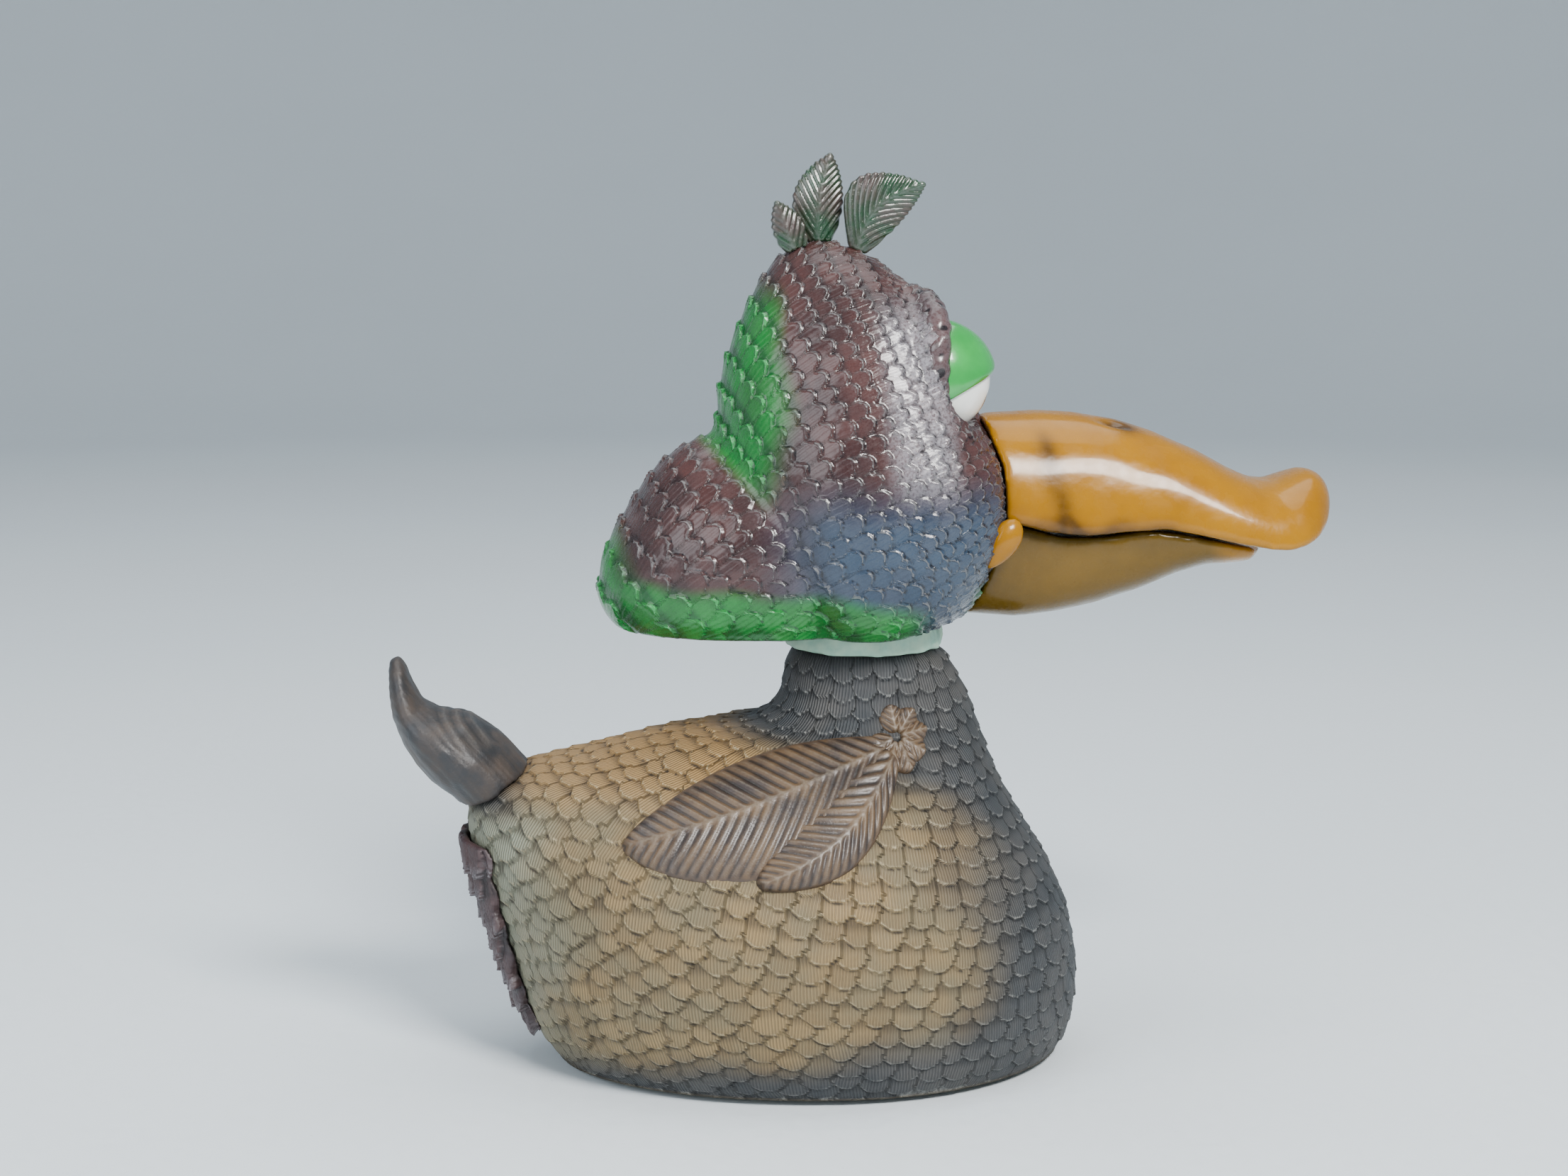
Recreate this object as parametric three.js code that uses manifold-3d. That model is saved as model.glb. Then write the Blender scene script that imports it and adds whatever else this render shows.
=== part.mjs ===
// A bobblehead duck figurine, cast in resin: a scaly body standing on its flat base, and a big
// head with a long bill that nods, sways, turns and bounces on a coil spring in the neck.
// Millimetres. +Z up, +X the way the duck faces, +Y its left side. The origin is in the middle
// of the figurine's length and width, on the surface that it stands on.
import * as THREE from 'three';
import { mergeVertices } from 'three/addons/utils/BufferGeometryUtils.js';
import Module from 'manifold-3d';

const wasm = await Module();
wasm.setup();

// ---------------------------------------------------------------- driving dimensions
const GAP = 0.3; // between pieces that touch
const WALL = 4; // of the cast shells
const SIDES = [['left', 1], ['right', -1]];

const FELT_THICKNESS = 1;
const BODY_BOTTOM = FELT_THICKNESS + GAP;
const BASE_PLATE_THICKNESS = 2.2;
const BASE_RIM = 6; // width of the body's rim around the base plate
const BODY_HOLLOW_TOP = 54;

const RING_BOTTOM = 83.5; // the pale ring around the top of the neck
const RING_TOP = 88.8;
const RING_THICKNESS = 2.2;
const NECK_TOP = 88.4;

const SOCKET_RADIUS = 9; // the hole down the neck that holds the foot of the spring
const SOCKET_FLOOR = 66;
const SPRING_RADIUS = 6.3; // to the middle of the wire
const WIRE_RADIUS = 0.65;
const BOSS_RADIUS = 5; // of the plug and the cap, inside the spring
const FLANGE_RADIUS = 8.5;
const FLANGE_THICKNESS = 3;
const SPRING_BOTTOM = SOCKET_FLOOR + GAP + FLANGE_THICKNESS + GAP;
const SPRING_TOP = 110.8;
const SPRING_TURNS = 7.5;
const CAP_TOP = SPRING_TOP + GAP + FLANGE_THICKNESS - 0.5;

const SCREW_RADIUS = 1.25;
const SCREW_HEAD_RADIUS = 2.6;
const SCREW_HEAD_HEIGHT = 1.6;
const SCREW_HOLE = SCREW_RADIUS + GAP;

const STRAP_BOTTOM = CAP_TOP + GAP; // the steel strap across the inside of the head
const STRAP_THICKNESS = 2;
const STRAP_LENGTH = 46;
const STRAP_WIDTH = 16;
const LEDGE_Z = STRAP_BOTTOM + STRAP_THICKNESS + GAP; // the strap is screwed up against it
const LEDGE_WIDTH = 8;
const STRAP_SCREW_Y = 20.5;
const STRAP_SCREW_DEPTH = 7;

const HEAD_HOLLOW_TOP = 148;
const NECK_HOLE = { rear: -22, front: 19.5, halfWidth: 18.5 }; // in the head's underside

const EYE = { x: 12, y: 10, z: 137.4, reach: 11.2, halfWidth: 7.8, height: 10.6 };
const EYE_BACK = 9.5; // the flat back of the eyeball
const LID_THICKNESS = 1;

// ---------------------------------------------------------------- helpers

// A smooth curve through [position, value] points that never overshoots them.
function curveThrough(points) {
  const slopes = points.slice(1).map(([x, y], i) => (y - points[i][1]) / (x - points[i][0]));
  const tangents = points.map((_, i) => {
    if (i === 0) return slopes[0];
    if (i === slopes.length) return slopes[i - 1];
    const [before, after] = [slopes[i - 1], slopes[i]];
    return before * after <= 0 ? 0 : (2 * before * after) / (before + after);
  });
  return (x) => {
    if (x <= points[0][0]) return points[0][1];
    if (x >= points.at(-1)[0]) return points.at(-1)[1];
    const i = points.findIndex(([position]) => position > x) - 1;
    const width = points[i + 1][0] - points[i][0];
    const t = (x - points[i][0]) / width;
    const rise = t * t * (3 - 2 * t);
    const bend = width * t * (1 - t);
    return points[i][1] * (1 - rise) + points[i + 1][1] * rise
      + bend * (tangents[i] * (1 - t) - tangents[i + 1] * t);
  };
}

const signedPower = (value, power) => Math.sign(value) * Math.abs(value) ** power;

// A level egg-shaped ring: its own reach to the front and to the rear of its widest place.
// A power over 2 makes its front half squarer.
function eggRing({ z, rear, front, wide, halfWidth, count = 36, power = 2 }) {
  return Array.from({ length: count }, (_, i) => {
    const angle = (2 * Math.PI * i) / count;
    const [cosine, sine] = [Math.cos(angle), Math.sin(angle)];
    const exponent = cosine > 0 ? 2 / power : 1;
    const reach = cosine > 0 ? front - wide : wide - rear;
    const x = wide + reach * signedPower(cosine, exponent);
    return [x, halfWidth * signedPower(sine, exponent), z];
  });
}

function signedVolume(vertices, triangles) {
  let volume = 0;
  for (const [a, b, c] of triangles) {
    const [p, q, r] = [vertices[a], vertices[b], vertices[c]];
    volume += p[0] * (q[1] * r[2] - q[2] * r[1])
      + p[1] * (q[2] * r[0] - q[0] * r[2])
      + p[2] * (q[0] * r[1] - q[1] * r[0]);
  }
  return volume / 6;
}

// A closed skin over a row of rings with equal counts, with a flat fan on each end.
function loft(rings) {
  const count = rings[0].length;
  const vertices = rings.flat();
  const triangles = [];
  for (let row = 0; row < rings.length - 1; row += 1) {
    for (let i = 0; i < count; i += 1) {
      const next = (i + 1) % count;
      const [a, b] = [row * count + i, row * count + next];
      triangles.push([a, b, b + count], [a, b + count, a + count]);
    }
  }
  for (const row of [0, rings.length - 1]) {
    const middle = vertices.length;
    const ring = rings[row];
    vertices.push([0, 1, 2].map((k) => ring.reduce((sum, p) => sum + p[k], 0) / count));
    for (let i = 0; i < count; i += 1) {
      const [a, b] = [row * count + i, row * count + ((i + 1) % count)];
      triangles.push(row === 0 ? [middle, b, a] : [middle, a, b]);
    }
  }
  if (signedVolume(vertices, triangles) < 0) triangles.forEach((t) => t.reverse());
  return new wasm.Manifold(new wasm.Mesh({
    numProp: 3,
    vertProperties: new Float32Array(vertices.flat()),
    triVerts: new Uint32Array(triangles.flat()),
  }));
}

// A three.js geometry as a solid that can be cut and joined.
function solid(geometry) {
  const bare = geometry.index ? geometry.toNonIndexed() : geometry.clone();
  bare.deleteAttribute('normal');
  bare.deleteAttribute('uv');
  const merged = mergeVertices(bare, 1e-4);
  return new wasm.Manifold(new wasm.Mesh({
    numProp: 3,
    vertProperties: new Float32Array(merged.attributes.position.array),
    triVerts: new Uint32Array(merged.index.array),
  }));
}

function geometryOf(manifold) {
  const { vertProperties, triVerts, numProp } = manifold.getMesh();
  const positions = new Float32Array(triVerts.length * 3);
  triVerts.forEach((vertex, i) => {
    positions.set(vertProperties.subarray(vertex * numProp, vertex * numProp + 3), i * 3);
  });
  const geometry = new THREE.BufferGeometry();
  geometry.setAttribute('position', new THREE.BufferAttribute(positions, 3));
  geometry.computeVertexNormals();
  return geometry;
}

// A turned piece about the Z axis: [radius, z] points, from the axis back to the axis.
function turned(profile, sides = 24) {
  const points = profile.map(([radius, z]) => new THREE.Vector2(radius, z));
  const geometry = new THREE.LatheGeometry(points, sides);
  geometry.rotateX(Math.PI / 2); // three.js turns about Y, so its height becomes Z
  return solid(geometry);
}

function rod(radius, bottom, top, x = 0, y = 0, sides = 14) {
  const profile = [[0, bottom], [radius, bottom], [radius, top], [0, top]];
  return turned(profile, sides).translate([x, y, 0]);
}

// An outline in the X-Z plane, [x, z] points, pushed along Y from one depth to the other.
function slab(outline, from, to) {
  const shape = new THREE.Shape(outline.map(([x, z]) => new THREE.Vector2(x, z)));
  const geometry = new THREE.ExtrudeGeometry(shape, { depth: to - from, bevelEnabled: false });
  geometry.rotateX(Math.PI / 2); // the outline stands up in X-Z and the depth runs along -Y
  geometry.translate(0, to, 0);
  return solid(geometry);
}

function ellipsoid([x, y, z], [reach, halfWidth, height], grow = 0) {
  const geometry = new THREE.SphereGeometry(1, 20, 12);
  geometry.scale(reach + grow, halfWidth + grow, height + grow);
  geometry.translate(x, y, z);
  return solid(geometry);
}

// ---------------------------------------------------------------- the body

const bodyRear = curveThrough([
  [0, -60], [4, -64.5], [14, -69.4], [26, -73.2], [40, -77.6], [50, -80.3], [55, -80.8],
  [58, -78], [60.5, -68], [63.4, -54], [66, -46], [67.6, -34], [68.6, -22], [70.6, -18],
  [74, -16], [84, -16],
]);
const bodyFront = curveThrough([
  [0, 39], [7.6, 43], [17.5, 44], [29.3, 42], [39.3, 38], [48.5, 32.3], [57.6, 27.2],
  [65.8, 24], [74, 21.2], [79.6, 17.8], [84, 15.6],
]);
const bodyHalfWidth = curveThrough([
  [0, 34], [4, 38], [14, 42.5], [26, 44], [38, 42.5], [48, 38.5], [56, 32.5], [62, 26.5],
  [66, 22], [70, 18.4], [74, 16.6], [84, 15],
]);
const bodyWidest = curveThrough([[0, -6], [30, -12], [55, -10], [66, 0], [84, 0]]);
const BODY_LEVELS = [0, 2, 6, 12, 20, 30, 40, 48, 54, 58, 61, 63.4, 65.4, 67, 68.4, 71, 75, 80];

// The body's skin up to the foot of the ring. To grow it, each ring goes out and up.
function bodySkin(grow = 0, top = RING_BOTTOM) {
  const levels = [...BODY_LEVELS, top];
  return loft(levels.map((z) => eggRing({
    z: z + (z > 0 ? grow : 0),
    rear: bodyRear(z) - grow,
    front: bodyFront(z) + grow,
    wide: bodyWidest(z),
    halfWidth: bodyHalfWidth(z) + grow,
  })));
}

function bodyPrism(inset, bottom, top, atLevel = 0) {
  return loft([bottom, top].map((z) => eggRing({
    z,
    rear: bodyRear(atLevel) + inset,
    front: bodyFront(atLevel) - inset,
    wide: bodyWidest(atLevel),
    halfWidth: bodyHalfWidth(atLevel) - inset,
  })));
}

function neckPrism(radius, bottom, top) {
  return loft([bottom, top].map((z) => eggRing({
    z, rear: -radius, front: radius, wide: 0, halfWidth: radius - 0.6, count: 32,
  })));
}

const RING_RADIUS = 15.8;
const STUB_RADIUS = RING_RADIUS - RING_THICKNESS - GAP;

function makeBodyShell() {
  const hollowLevels = [BODY_BOTTOM + BASE_PLATE_THICKNESS, 8, 20, 32, 44, BODY_HOLLOW_TOP];
  const hollowInset = (z) => (z < 8 ? BASE_RIM + 4 : WALL + 1);
  const hollow = loft(hollowLevels.map((z) => eggRing({
    z,
    rear: bodyRear(z) + hollowInset(z),
    front: bodyFront(z) - hollowInset(z),
    wide: bodyWidest(z),
    halfWidth: bodyHalfWidth(z) - hollowInset(z),
    count: 24,
  })));
  const recess = bodyPrism(BASE_RIM - GAP, -1, BODY_BOTTOM + BASE_PLATE_THICKNESS + GAP);
  const below = bodyPrism(-20, -5, BODY_BOTTOM);
  const stub = neckPrism(STUB_RADIUS, RING_BOTTOM - 6, NECK_TOP);
  return bodySkin().add(stub)
    .subtract(below)
    .subtract(recess)
    .subtract(hollow)
    .subtract(rod(SOCKET_RADIUS, SOCKET_FLOOR, NECK_TOP + 5, 0, 0, 24))
    .subtract(rod(SCREW_HOLE, BODY_HOLLOW_TOP + 3, SOCKET_FLOOR + 1));
}

function makeBasePlate() {
  return bodyPrism(BASE_RIM, BODY_BOTTOM, BODY_BOTTOM + BASE_PLATE_THICKNESS);
}

function makeFeltPad() {
  return bodyPrism(2, 0, FELT_THICKNESS);
}

function makeNeckRing() {
  const outside = neckPrism(RING_RADIUS, RING_BOTTOM + GAP, RING_TOP);
  return outside.subtract(neckPrism(STUB_RADIUS + GAP, RING_BOTTOM - 1, RING_TOP + 1));
}

// Each section of the tail: its lower and upper edge, [x, z], and its half width.
const TAIL_SECTIONS = [
  { lower: [-78, 50], upper: [-62, 56], halfWidth: 11 },
  { lower: [-82.6, 55.6], upper: [-68, 62], halfWidth: 13.5 },
  { lower: [-86.3, 58.4], upper: [-73, 67], halfWidth: 14.5 },
  { lower: [-89.2, 61.8], upper: [-78.5, 71], halfWidth: 14 },
  { lower: [-91.6, 66], upper: [-84, 71.8], halfWidth: 12 },
  { lower: [-93.4, 71], upper: [-88, 73.5], halfWidth: 9.5 },
  { lower: [-94.2, 76], upper: [-89.8, 77.2], halfWidth: 7 },
  { lower: [-94.2, 79.8], upper: [-91, 80.8], halfWidth: 4.6 },
  { lower: [-93.8, 82.2], upper: [-92, 82.4], halfWidth: 2 },
];

function makeTail() {
  const count = 20;
  const rings = TAIL_SECTIONS.map(({ lower, upper, halfWidth }) => (
    Array.from({ length: count }, (_, i) => {
      const angle = (2 * Math.PI * i) / count;
      const rise = (1 - Math.cos(angle)) / 2;
      return [
        lower[0] + (upper[0] - lower[0]) * rise,
        halfWidth * Math.sin(angle),
        lower[1] + (upper[1] - lower[1]) * rise,
      ];
    })
  ));
  return loft(rings).subtract(bodySkin(GAP));
}

// A relief piece on the body's skin: what lies inside the outline, between two depths.
function relief(prism, thickness) {
  return bodySkin(GAP + thickness).intersect(prism).subtract(bodySkin(GAP));
}

const SKIRT = { top: 47, bottom: 8, halfWidth: 14, thickness: 1.8, scallops: 6, scallop: 1.5 };

// The dark feathers under the tail, with a scalloped edge down each side.
function makeRumpSkirt() {
  const steps = SKIRT.scallops * 4;
  const edge = Array.from({ length: steps + 1 }, (_, i) => {
    const t = i / steps;
    const wave = Math.abs(Math.sin(Math.PI * SKIRT.scallops * t));
    const taper = 1 - 0.35 * t;
    return [SKIRT.halfWidth * taper + SKIRT.scallop * wave, SKIRT.top + (SKIRT.bottom - SKIRT.top) * t];
  });
  const outline = [...edge, ...edge.map(([y, z]) => [-y, z]).reverse()];
  const prism = slab(outline, -40, 40).rotate([0, 0, 90]).translate([-80, 0, 0]);
  return relief(prism, SKIRT.thickness);
}

// A leaf-shaped outline from its root to its tip, [x, z], bulging more on one side.
function leafOutline(root, tip, above, below, steps = 10) {
  const [dx, dz] = [tip[0] - root[0], tip[1] - root[1]];
  const length = Math.hypot(dx, dz);
  const normal = [-dz / length, dx / length];
  const side = (bulge, t) => {
    const out = bulge * Math.sin(Math.PI * t ** 1.15) ** 0.8;
    return [root[0] + dx * t + normal[0] * out, root[1] + dz * t + normal[1] * out];
  };
  const stations = Array.from({ length: steps + 1 }, (_, i) => i / steps);
  const there = stations.map((t) => side(above, t));
  const back = stations.slice(1, -1).reverse().map((t) => side(-below, t));
  return [...there, ...back];
}

const WING_THICKNESS = 2;
const WING_FEATHERS = [
  { root: [3, 67], tip: [-48.5, 50.5], above: 7.5, below: 11 },
  { root: [2, 66], tip: [-25, 44.5], above: 6, below: 6 },
];
const SHOULDER = { x: 3.5, z: 67, radius: 7.5 };

function makeWing(side) {
  const [near, far] = side > 0 ? [5, 70] : [-70, -5];
  const shoulder = solid(new THREE.CylinderGeometry(SHOULDER.radius, SHOULDER.radius, 90, 20))
    .translate([SHOULDER.x, side * 50, SHOULDER.z]);
  const prism = WING_FEATHERS.reduce((joined, { root, tip, above, below }) => (
    joined.add(slab(leafOutline(root, tip, above, below), near, far))
  ), shoulder);
  const half = slab([[-90, 30], [60, 30], [60, 80], [-90, 80]], near, far);
  return relief(prism.intersect(half), WING_THICKNESS);
}

// ---------------------------------------------------------------- the spring in the neck

function makeSpringPlug() {
  const flangeTop = SPRING_BOTTOM - GAP;
  const profile = [
    [0, SOCKET_FLOOR + GAP], [FLANGE_RADIUS, SOCKET_FLOOR + GAP], [FLANGE_RADIUS, flangeTop],
    [BOSS_RADIUS, flangeTop], [BOSS_RADIUS, flangeTop + 5], [0, flangeTop + 5],
  ];
  return turned(profile).subtract(rod(SCREW_HOLE, SOCKET_FLOOR - 1, flangeTop + 6));
}

function makeScrew(seat, length, headDown) {
  const direction = headDown ? 1 : -1; // the way the shank points from its seat
  const head = [seat - direction * (SCREW_HEAD_HEIGHT + GAP), seat - direction * GAP];
  const shank = [seat - direction * (GAP + 0.5), seat + direction * length];
  return rod(SCREW_HEAD_RADIUS, Math.min(...head), Math.max(...head))
    .add(rod(SCREW_RADIUS, Math.min(...shank), Math.max(...shank)));
}

// The coil is one wire. It is divided where it bends: each stretch is a body of its own.
const COIL_STRETCHES = { spring_lower: [0, 0.32], spring_middle: [0.34, 0.64], spring_upper: [0.66, 1] };

class Coil extends THREE.Curve {
  constructor(start, end) {
    super();
    this.start = start;
    this.end = end;
  }

  getPoint(t, target = new THREE.Vector3()) {
    const whole = this.start + (this.end - this.start) * t;
    const angle = 2 * Math.PI * SPRING_TURNS * whole;
    // the turns lie close together at both ends of the spring
    const climb = whole - 0.7 * (Math.sin(2 * Math.PI * whole) / (2 * Math.PI));
    const height = SPRING_TOP - SPRING_BOTTOM - 2 * WIRE_RADIUS;
    return target.set(
      SPRING_RADIUS * Math.cos(angle),
      SPRING_RADIUS * Math.sin(angle),
      SPRING_BOTTOM + WIRE_RADIUS + height * climb,
    );
  }
}

function makeCoil([start, end]) {
  const sides = 6;
  const section = new THREE.Shape(Array.from({ length: sides }, (_, i) => {
    const angle = (2 * Math.PI * i) / sides;
    return new THREE.Vector2(WIRE_RADIUS * Math.cos(angle), WIRE_RADIUS * Math.sin(angle));
  }));
  const steps = Math.round((end - start) * SPRING_TURNS * 12);
  const options = { steps, extrudePath: new Coil(start, end), bevelEnabled: false };
  return solid(new THREE.ExtrudeGeometry(section, options));
}

function makeSpringCap() {
  const flangeBottom = SPRING_TOP + GAP;
  const profile = [
    [0, flangeBottom - 5], [BOSS_RADIUS, flangeBottom - 5], [BOSS_RADIUS, flangeBottom],
    [FLANGE_RADIUS, flangeBottom], [FLANGE_RADIUS, CAP_TOP], [0, CAP_TOP],
  ];
  return turned(profile).subtract(rod(SCREW_HOLE, flangeBottom - 6, CAP_TOP + 1));
}

function makeHeadStrap() {
  const [reach, half] = [STRAP_LENGTH / 2, STRAP_WIDTH / 2];
  const corner = 3;
  const shape = new THREE.Shape();
  shape.moveTo(-half + corner, -reach);
  shape.lineTo(half - corner, -reach);
  shape.lineTo(half, -reach + corner);
  shape.lineTo(half, reach - corner);
  shape.lineTo(half - corner, reach);
  shape.lineTo(-half + corner, reach);
  shape.lineTo(-half, reach - corner);
  shape.lineTo(-half, -reach + corner);
  const geometry = new THREE.ExtrudeGeometry(shape, { depth: STRAP_THICKNESS, bevelEnabled: false });
  geometry.translate(0, 0, STRAP_BOTTOM);
  return [0, STRAP_SCREW_Y, -STRAP_SCREW_Y].reduce((strap, y) => (
    strap.subtract(rod(SCREW_HOLE, STRAP_BOTTOM - 1, LEDGE_Z, 0, y))
  ), solid(geometry));
}

// ---------------------------------------------------------------- the head

const skullRear = curveThrough([
  [88, -12], [100, -22], [112, -27], [122, -29.6], [133, -29.4], [142, -27.2], [152, -23.3],
  [159, -19], [162.4, -15], [163.6, -10],
]);
const skullFront = curveThrough([
  [88, 9], [90, 17.5], [92, 20.4], [96, 22.4], [103, 24.8], [110, 26.6], [116, 27], [122, 25.4],
  [128, 23], [134, 20.4], [142, 17.6], [149, 14.2], [155, 8.6], [159, 3.8], [162.4, -2.4],
  [163.6, -7],
]);
const skullHalfWidth = curveThrough([
  [88, 23.5], [90, 25.6], [96, 28], [106, 29.4], [116, 29], [126, 26.6], [136, 23.6],
  [145, 20], [152, 15.8], [158, 10.6], [162.4, 5], [163.6, 1.5],
]);
const napeRear = curveThrough([
  [88, -48.6], [90.4, -52], [96, -53.4], [103, -52.2], [109, -49.2], [114.6, -45.3],
  [120.7, -40.4], [125, -35], [127, -29],
]);
const napeHalfWidth = curveThrough([
  [88, 20.6], [91, 22.8], [98, 24.4], [106, 24], [113, 21], [120, 15.6], [125, 8.6], [127, 2],
]);
const SKULL_LEVELS = [
  88, 89.2, 91.5, 96, 104, 112, 120, 128, 136, 143, 149, 153.5, 157, 160, 162.4, 163.6,
];
const NAPE_LEVELS = [88, 89.2, 91.5, 96, 102, 108, 113.5, 118.5, 122.5, 125.5, 127];
const facePower = curveThrough([[88, 2.3], [96, 2.8], [106, 3.4], [118, 3.4], [130, 2.6], [142, 2.2]]);
const CHEEK_Z = 107; // where the head is widest
const SKULL_WIDE = -3;
const NAPE_WIDE = -19;

// To grow the skull, each ring goes out, and up or down from the cheeks. A hollow inside it is
// only drawn in.
function skullSkin(grow = 0, levels = SKULL_LEVELS, count = 32) {
  return loft(levels.map((z) => eggRing({
    z: z + Math.sign(z - CHEEK_Z) * Math.max(0, grow),
    rear: skullRear(z) - grow,
    front: skullFront(z) + grow,
    wide: SKULL_WIDE - Math.max(0, z - 150) * 0.4,
    halfWidth: skullHalfWidth(z) + grow,
    count,
    power: facePower(z),
  })));
}

function napeSkin(grow = 0, levels = NAPE_LEVELS, count = 24) {
  return loft(levels.map((z) => eggRing({
    z,
    rear: napeRear(z) - grow,
    front: 0,
    wide: NAPE_WIDE,
    halfWidth: napeHalfWidth(z) + grow,
    count,
  })));
}

function eyeBall(side, grow = 0) {
  const whole = ellipsoid([EYE.x, side * EYE.y, EYE.z], [EYE.reach, EYE.halfWidth, EYE.height], grow);
  const front = slab([[EYE_BACK - grow, 100], [60, 100], [60, 180], [EYE_BACK - grow, 180]], -40, 40);
  return whole.intersect(front);
}

// The ridge over and behind each eye is a tapered roll that follows the edge of the lid.
function browRidge(side) {
  const path = new THREE.CatmullRomCurve3([
    [5, 4, 152.4], [10.4, 8, 152.8], [11.8, 14.6, 149], [11.2, 18.2, 141], [12, 17.4, 132],
  ].map(([x, y, z]) => new THREE.Vector3(x, side * y, z)));
  const beads = 10;
  const sides = 8;
  const radiusAt = (t) => 1.2 + 1.6 * Math.sin(Math.PI * (0.15 + 0.8 * t)) ** 0.8;
  const rings = Array.from({ length: beads + 1 }, (_, i) => {
    const centre = path.getPoint(i / beads);
    const forward = path.getTangent(i / beads);
    const across = new THREE.Vector3(1, 0, 0).cross(forward).normalize();
    const up = forward.clone().cross(across);
    return Array.from({ length: sides }, (__, k) => {
      const angle = (2 * Math.PI * k) / sides;
      const point = centre.clone()
        .addScaledVector(across, radiusAt(i / beads) * Math.cos(angle))
        .addScaledVector(up, radiusAt(i / beads) * Math.sin(angle));
      return point.toArray();
    });
  });
  return loft(rings);
}

function headSkin(grow = 0) {
  return skullSkin(grow).add(napeSkin(grow));
}

const LOWER_HOLLOW_LEVELS = [91, 97, 106, LEDGE_Z];
const UPPER_HOLLOW_LEVELS = [LEDGE_Z - 1, 126, 138, HEAD_HOLLOW_TOP];

function makeHeadShell() {
  const lowerHollow = skullSkin(-WALL, LOWER_HOLLOW_LEVELS, 24)
    .add(napeSkin(-WALL, LOWER_HOLLOW_LEVELS, 20));
  const upperHollow = skullSkin(-WALL - LEDGE_WIDTH, UPPER_HOLLOW_LEVELS, 16);
  const { rear, front, halfWidth } = NECK_HOLE;
  const hole = loft([80, 93].map((z) => eggRing({ z, rear, front, wide: 0, halfWidth, count: 32 })));
  const solidHead = SIDES.reduce((head, [, side]) => head.add(browRidge(side)), headSkin());
  const hollowHead = solidHead.subtract(lowerHollow).subtract(upperHollow).subtract(hole);
  return SIDES.reduce((head, [, side]) => head
    .subtract(rod(SCREW_HOLE, LEDGE_Z - 1, LEDGE_Z + STRAP_SCREW_DEPTH, 0, side * STRAP_SCREW_Y))
    .subtract(eyeBall(side, LID_THICKNESS + 2 * GAP)), hollowHead);
}

// The lid is a thin shell over the eyeball, down to a line that slopes up towards the front.
function makeEyelid(side) {
  const shell = eyeBall(side, LID_THICKNESS + GAP).subtract(eyeBall(side, GAP));
  const above = slab([[0, 126], [30, 142.1], [30, 170], [0, 170]], -40, 40);
  return shell.intersect(above);
}

// ---------------------------------------------------------------- the bill

const BILL_TIP = 93.7;
const billTop = curveThrough([
  [18, 129.4], [26, 130.2], [37, 130.4], [47, 129.2], [55, 127.2], [63, 124], [71, 119.9],
  [77, 117], [81.2, 116], [85.5, 117.3], [89.5, 118.4], [92.4, 117], [BILL_TIP, 114],
]);
const mouthLine = curveThrough([
  [18, 111], [28, 109.8], [33, 108], [40, 107], [47, 107.3], [55, 108.4], [62.4, 107.4],
  [70, 105.8], [76, 104.3], [82, 103.6], [87.6, 105.3], [91.5, 108.6], [BILL_TIP, 112.4],
]);
const billHalfWidth = curveThrough([
  [18, 15], [30, 16.4], [42, 16.6], [56, 16.8], [70, 18], [80, 18.6], [86, 16.8], [90, 13],
  [92.6, 8], [BILL_TIP, 3],
]);
const chinLine = curveThrough([
  [14, 90.5], [23.5, 89.7], [30, 89.3], [37.9, 90.2], [45.8, 91.7], [53.7, 94.3], [59.9, 97],
  [65, 99.4], [71, 99.9], [76, 100.1], [79.2, 102.4],
]);
const lowerHalfWidth = curveThrough([
  [14, 11], [28, 12.6], [45, 13.6], [60, 14.8], [70, 15.4], [76, 12.5], [79.2, 6],
]);
const UPPER_STATIONS = [18, 26, 34, 42, 50, 58, 66, 73, 78, 82, 86, 89, 91.3, 92.8, BILL_TIP];
const LOWER_STATIONS = [14, 23, 30, 38, 46, 54, 61, 67, 72, 76, 78, 79.2];

// A half-round section across the bill: an arch over a flat chord.
function archRing(x, chordZ, crownZ, halfWidth, power, count = 18) {
  return Array.from({ length: count + 1 }, (_, i) => {
    const angle = (Math.PI * i) / count;
    const across = signedPower(Math.cos(angle), 2 / power);
    const rise = Math.sin(angle) ** (2 / power);
    return [x, halfWidth * across, chordZ + (crownZ - chordZ) * rise];
  });
}

function upperBillSkin() {
  return loft(UPPER_STATIONS.map((x) => (
    archRing(x, mouthLine(x), billTop(x), billHalfWidth(x), 2.3)
  )));
}

function lowerBillSkin() {
  return loft(LOWER_STATIONS.map((x) => (
    archRing(x, mouthLine(x) - 2 * GAP, chinLine(x), lowerHalfWidth(x), 2.6)
  )));
}

function makeUpperBill() {
  return upperBillSkin().subtract(headSkin(GAP));
}

function makeLowerBill() {
  return lowerBillSkin().subtract(headSkin(GAP));
}

// The yellow tab at each corner of the mouth lies against the side of the bill.
const GAPE = { root: [28.6, 111.4], tip: [20, 101.4], bulge: 2.8, inside: 17.2, outside: 20 };

function makeGape(side) {
  const { root, tip, bulge, inside, outside } = GAPE;
  const [near, far] = side > 0 ? [inside, outside] : [-outside, -inside];
  return slab(leafOutline(root, tip, bulge, bulge), near, far).subtract(headSkin(GAP));
}

// ---------------------------------------------------------------- the crest

const CREST = {
  crest_feather_rear: { root: [-12.6, 159], tip: [-17.8, 171.4], above: 2.6, below: 3.2, y: -1.7 },
  crest_feather_middle: { root: [-8.6, 160], tip: [-6.6, 180.6], above: 6.4, below: 3, y: 1.9 },
  crest_feather_front: { root: [-2.6, 160], tip: [11.2, 174.8], above: 10.4, below: 1.4, y: -1.7 },
};
const CREST_THICKNESS = 3.2;

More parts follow.
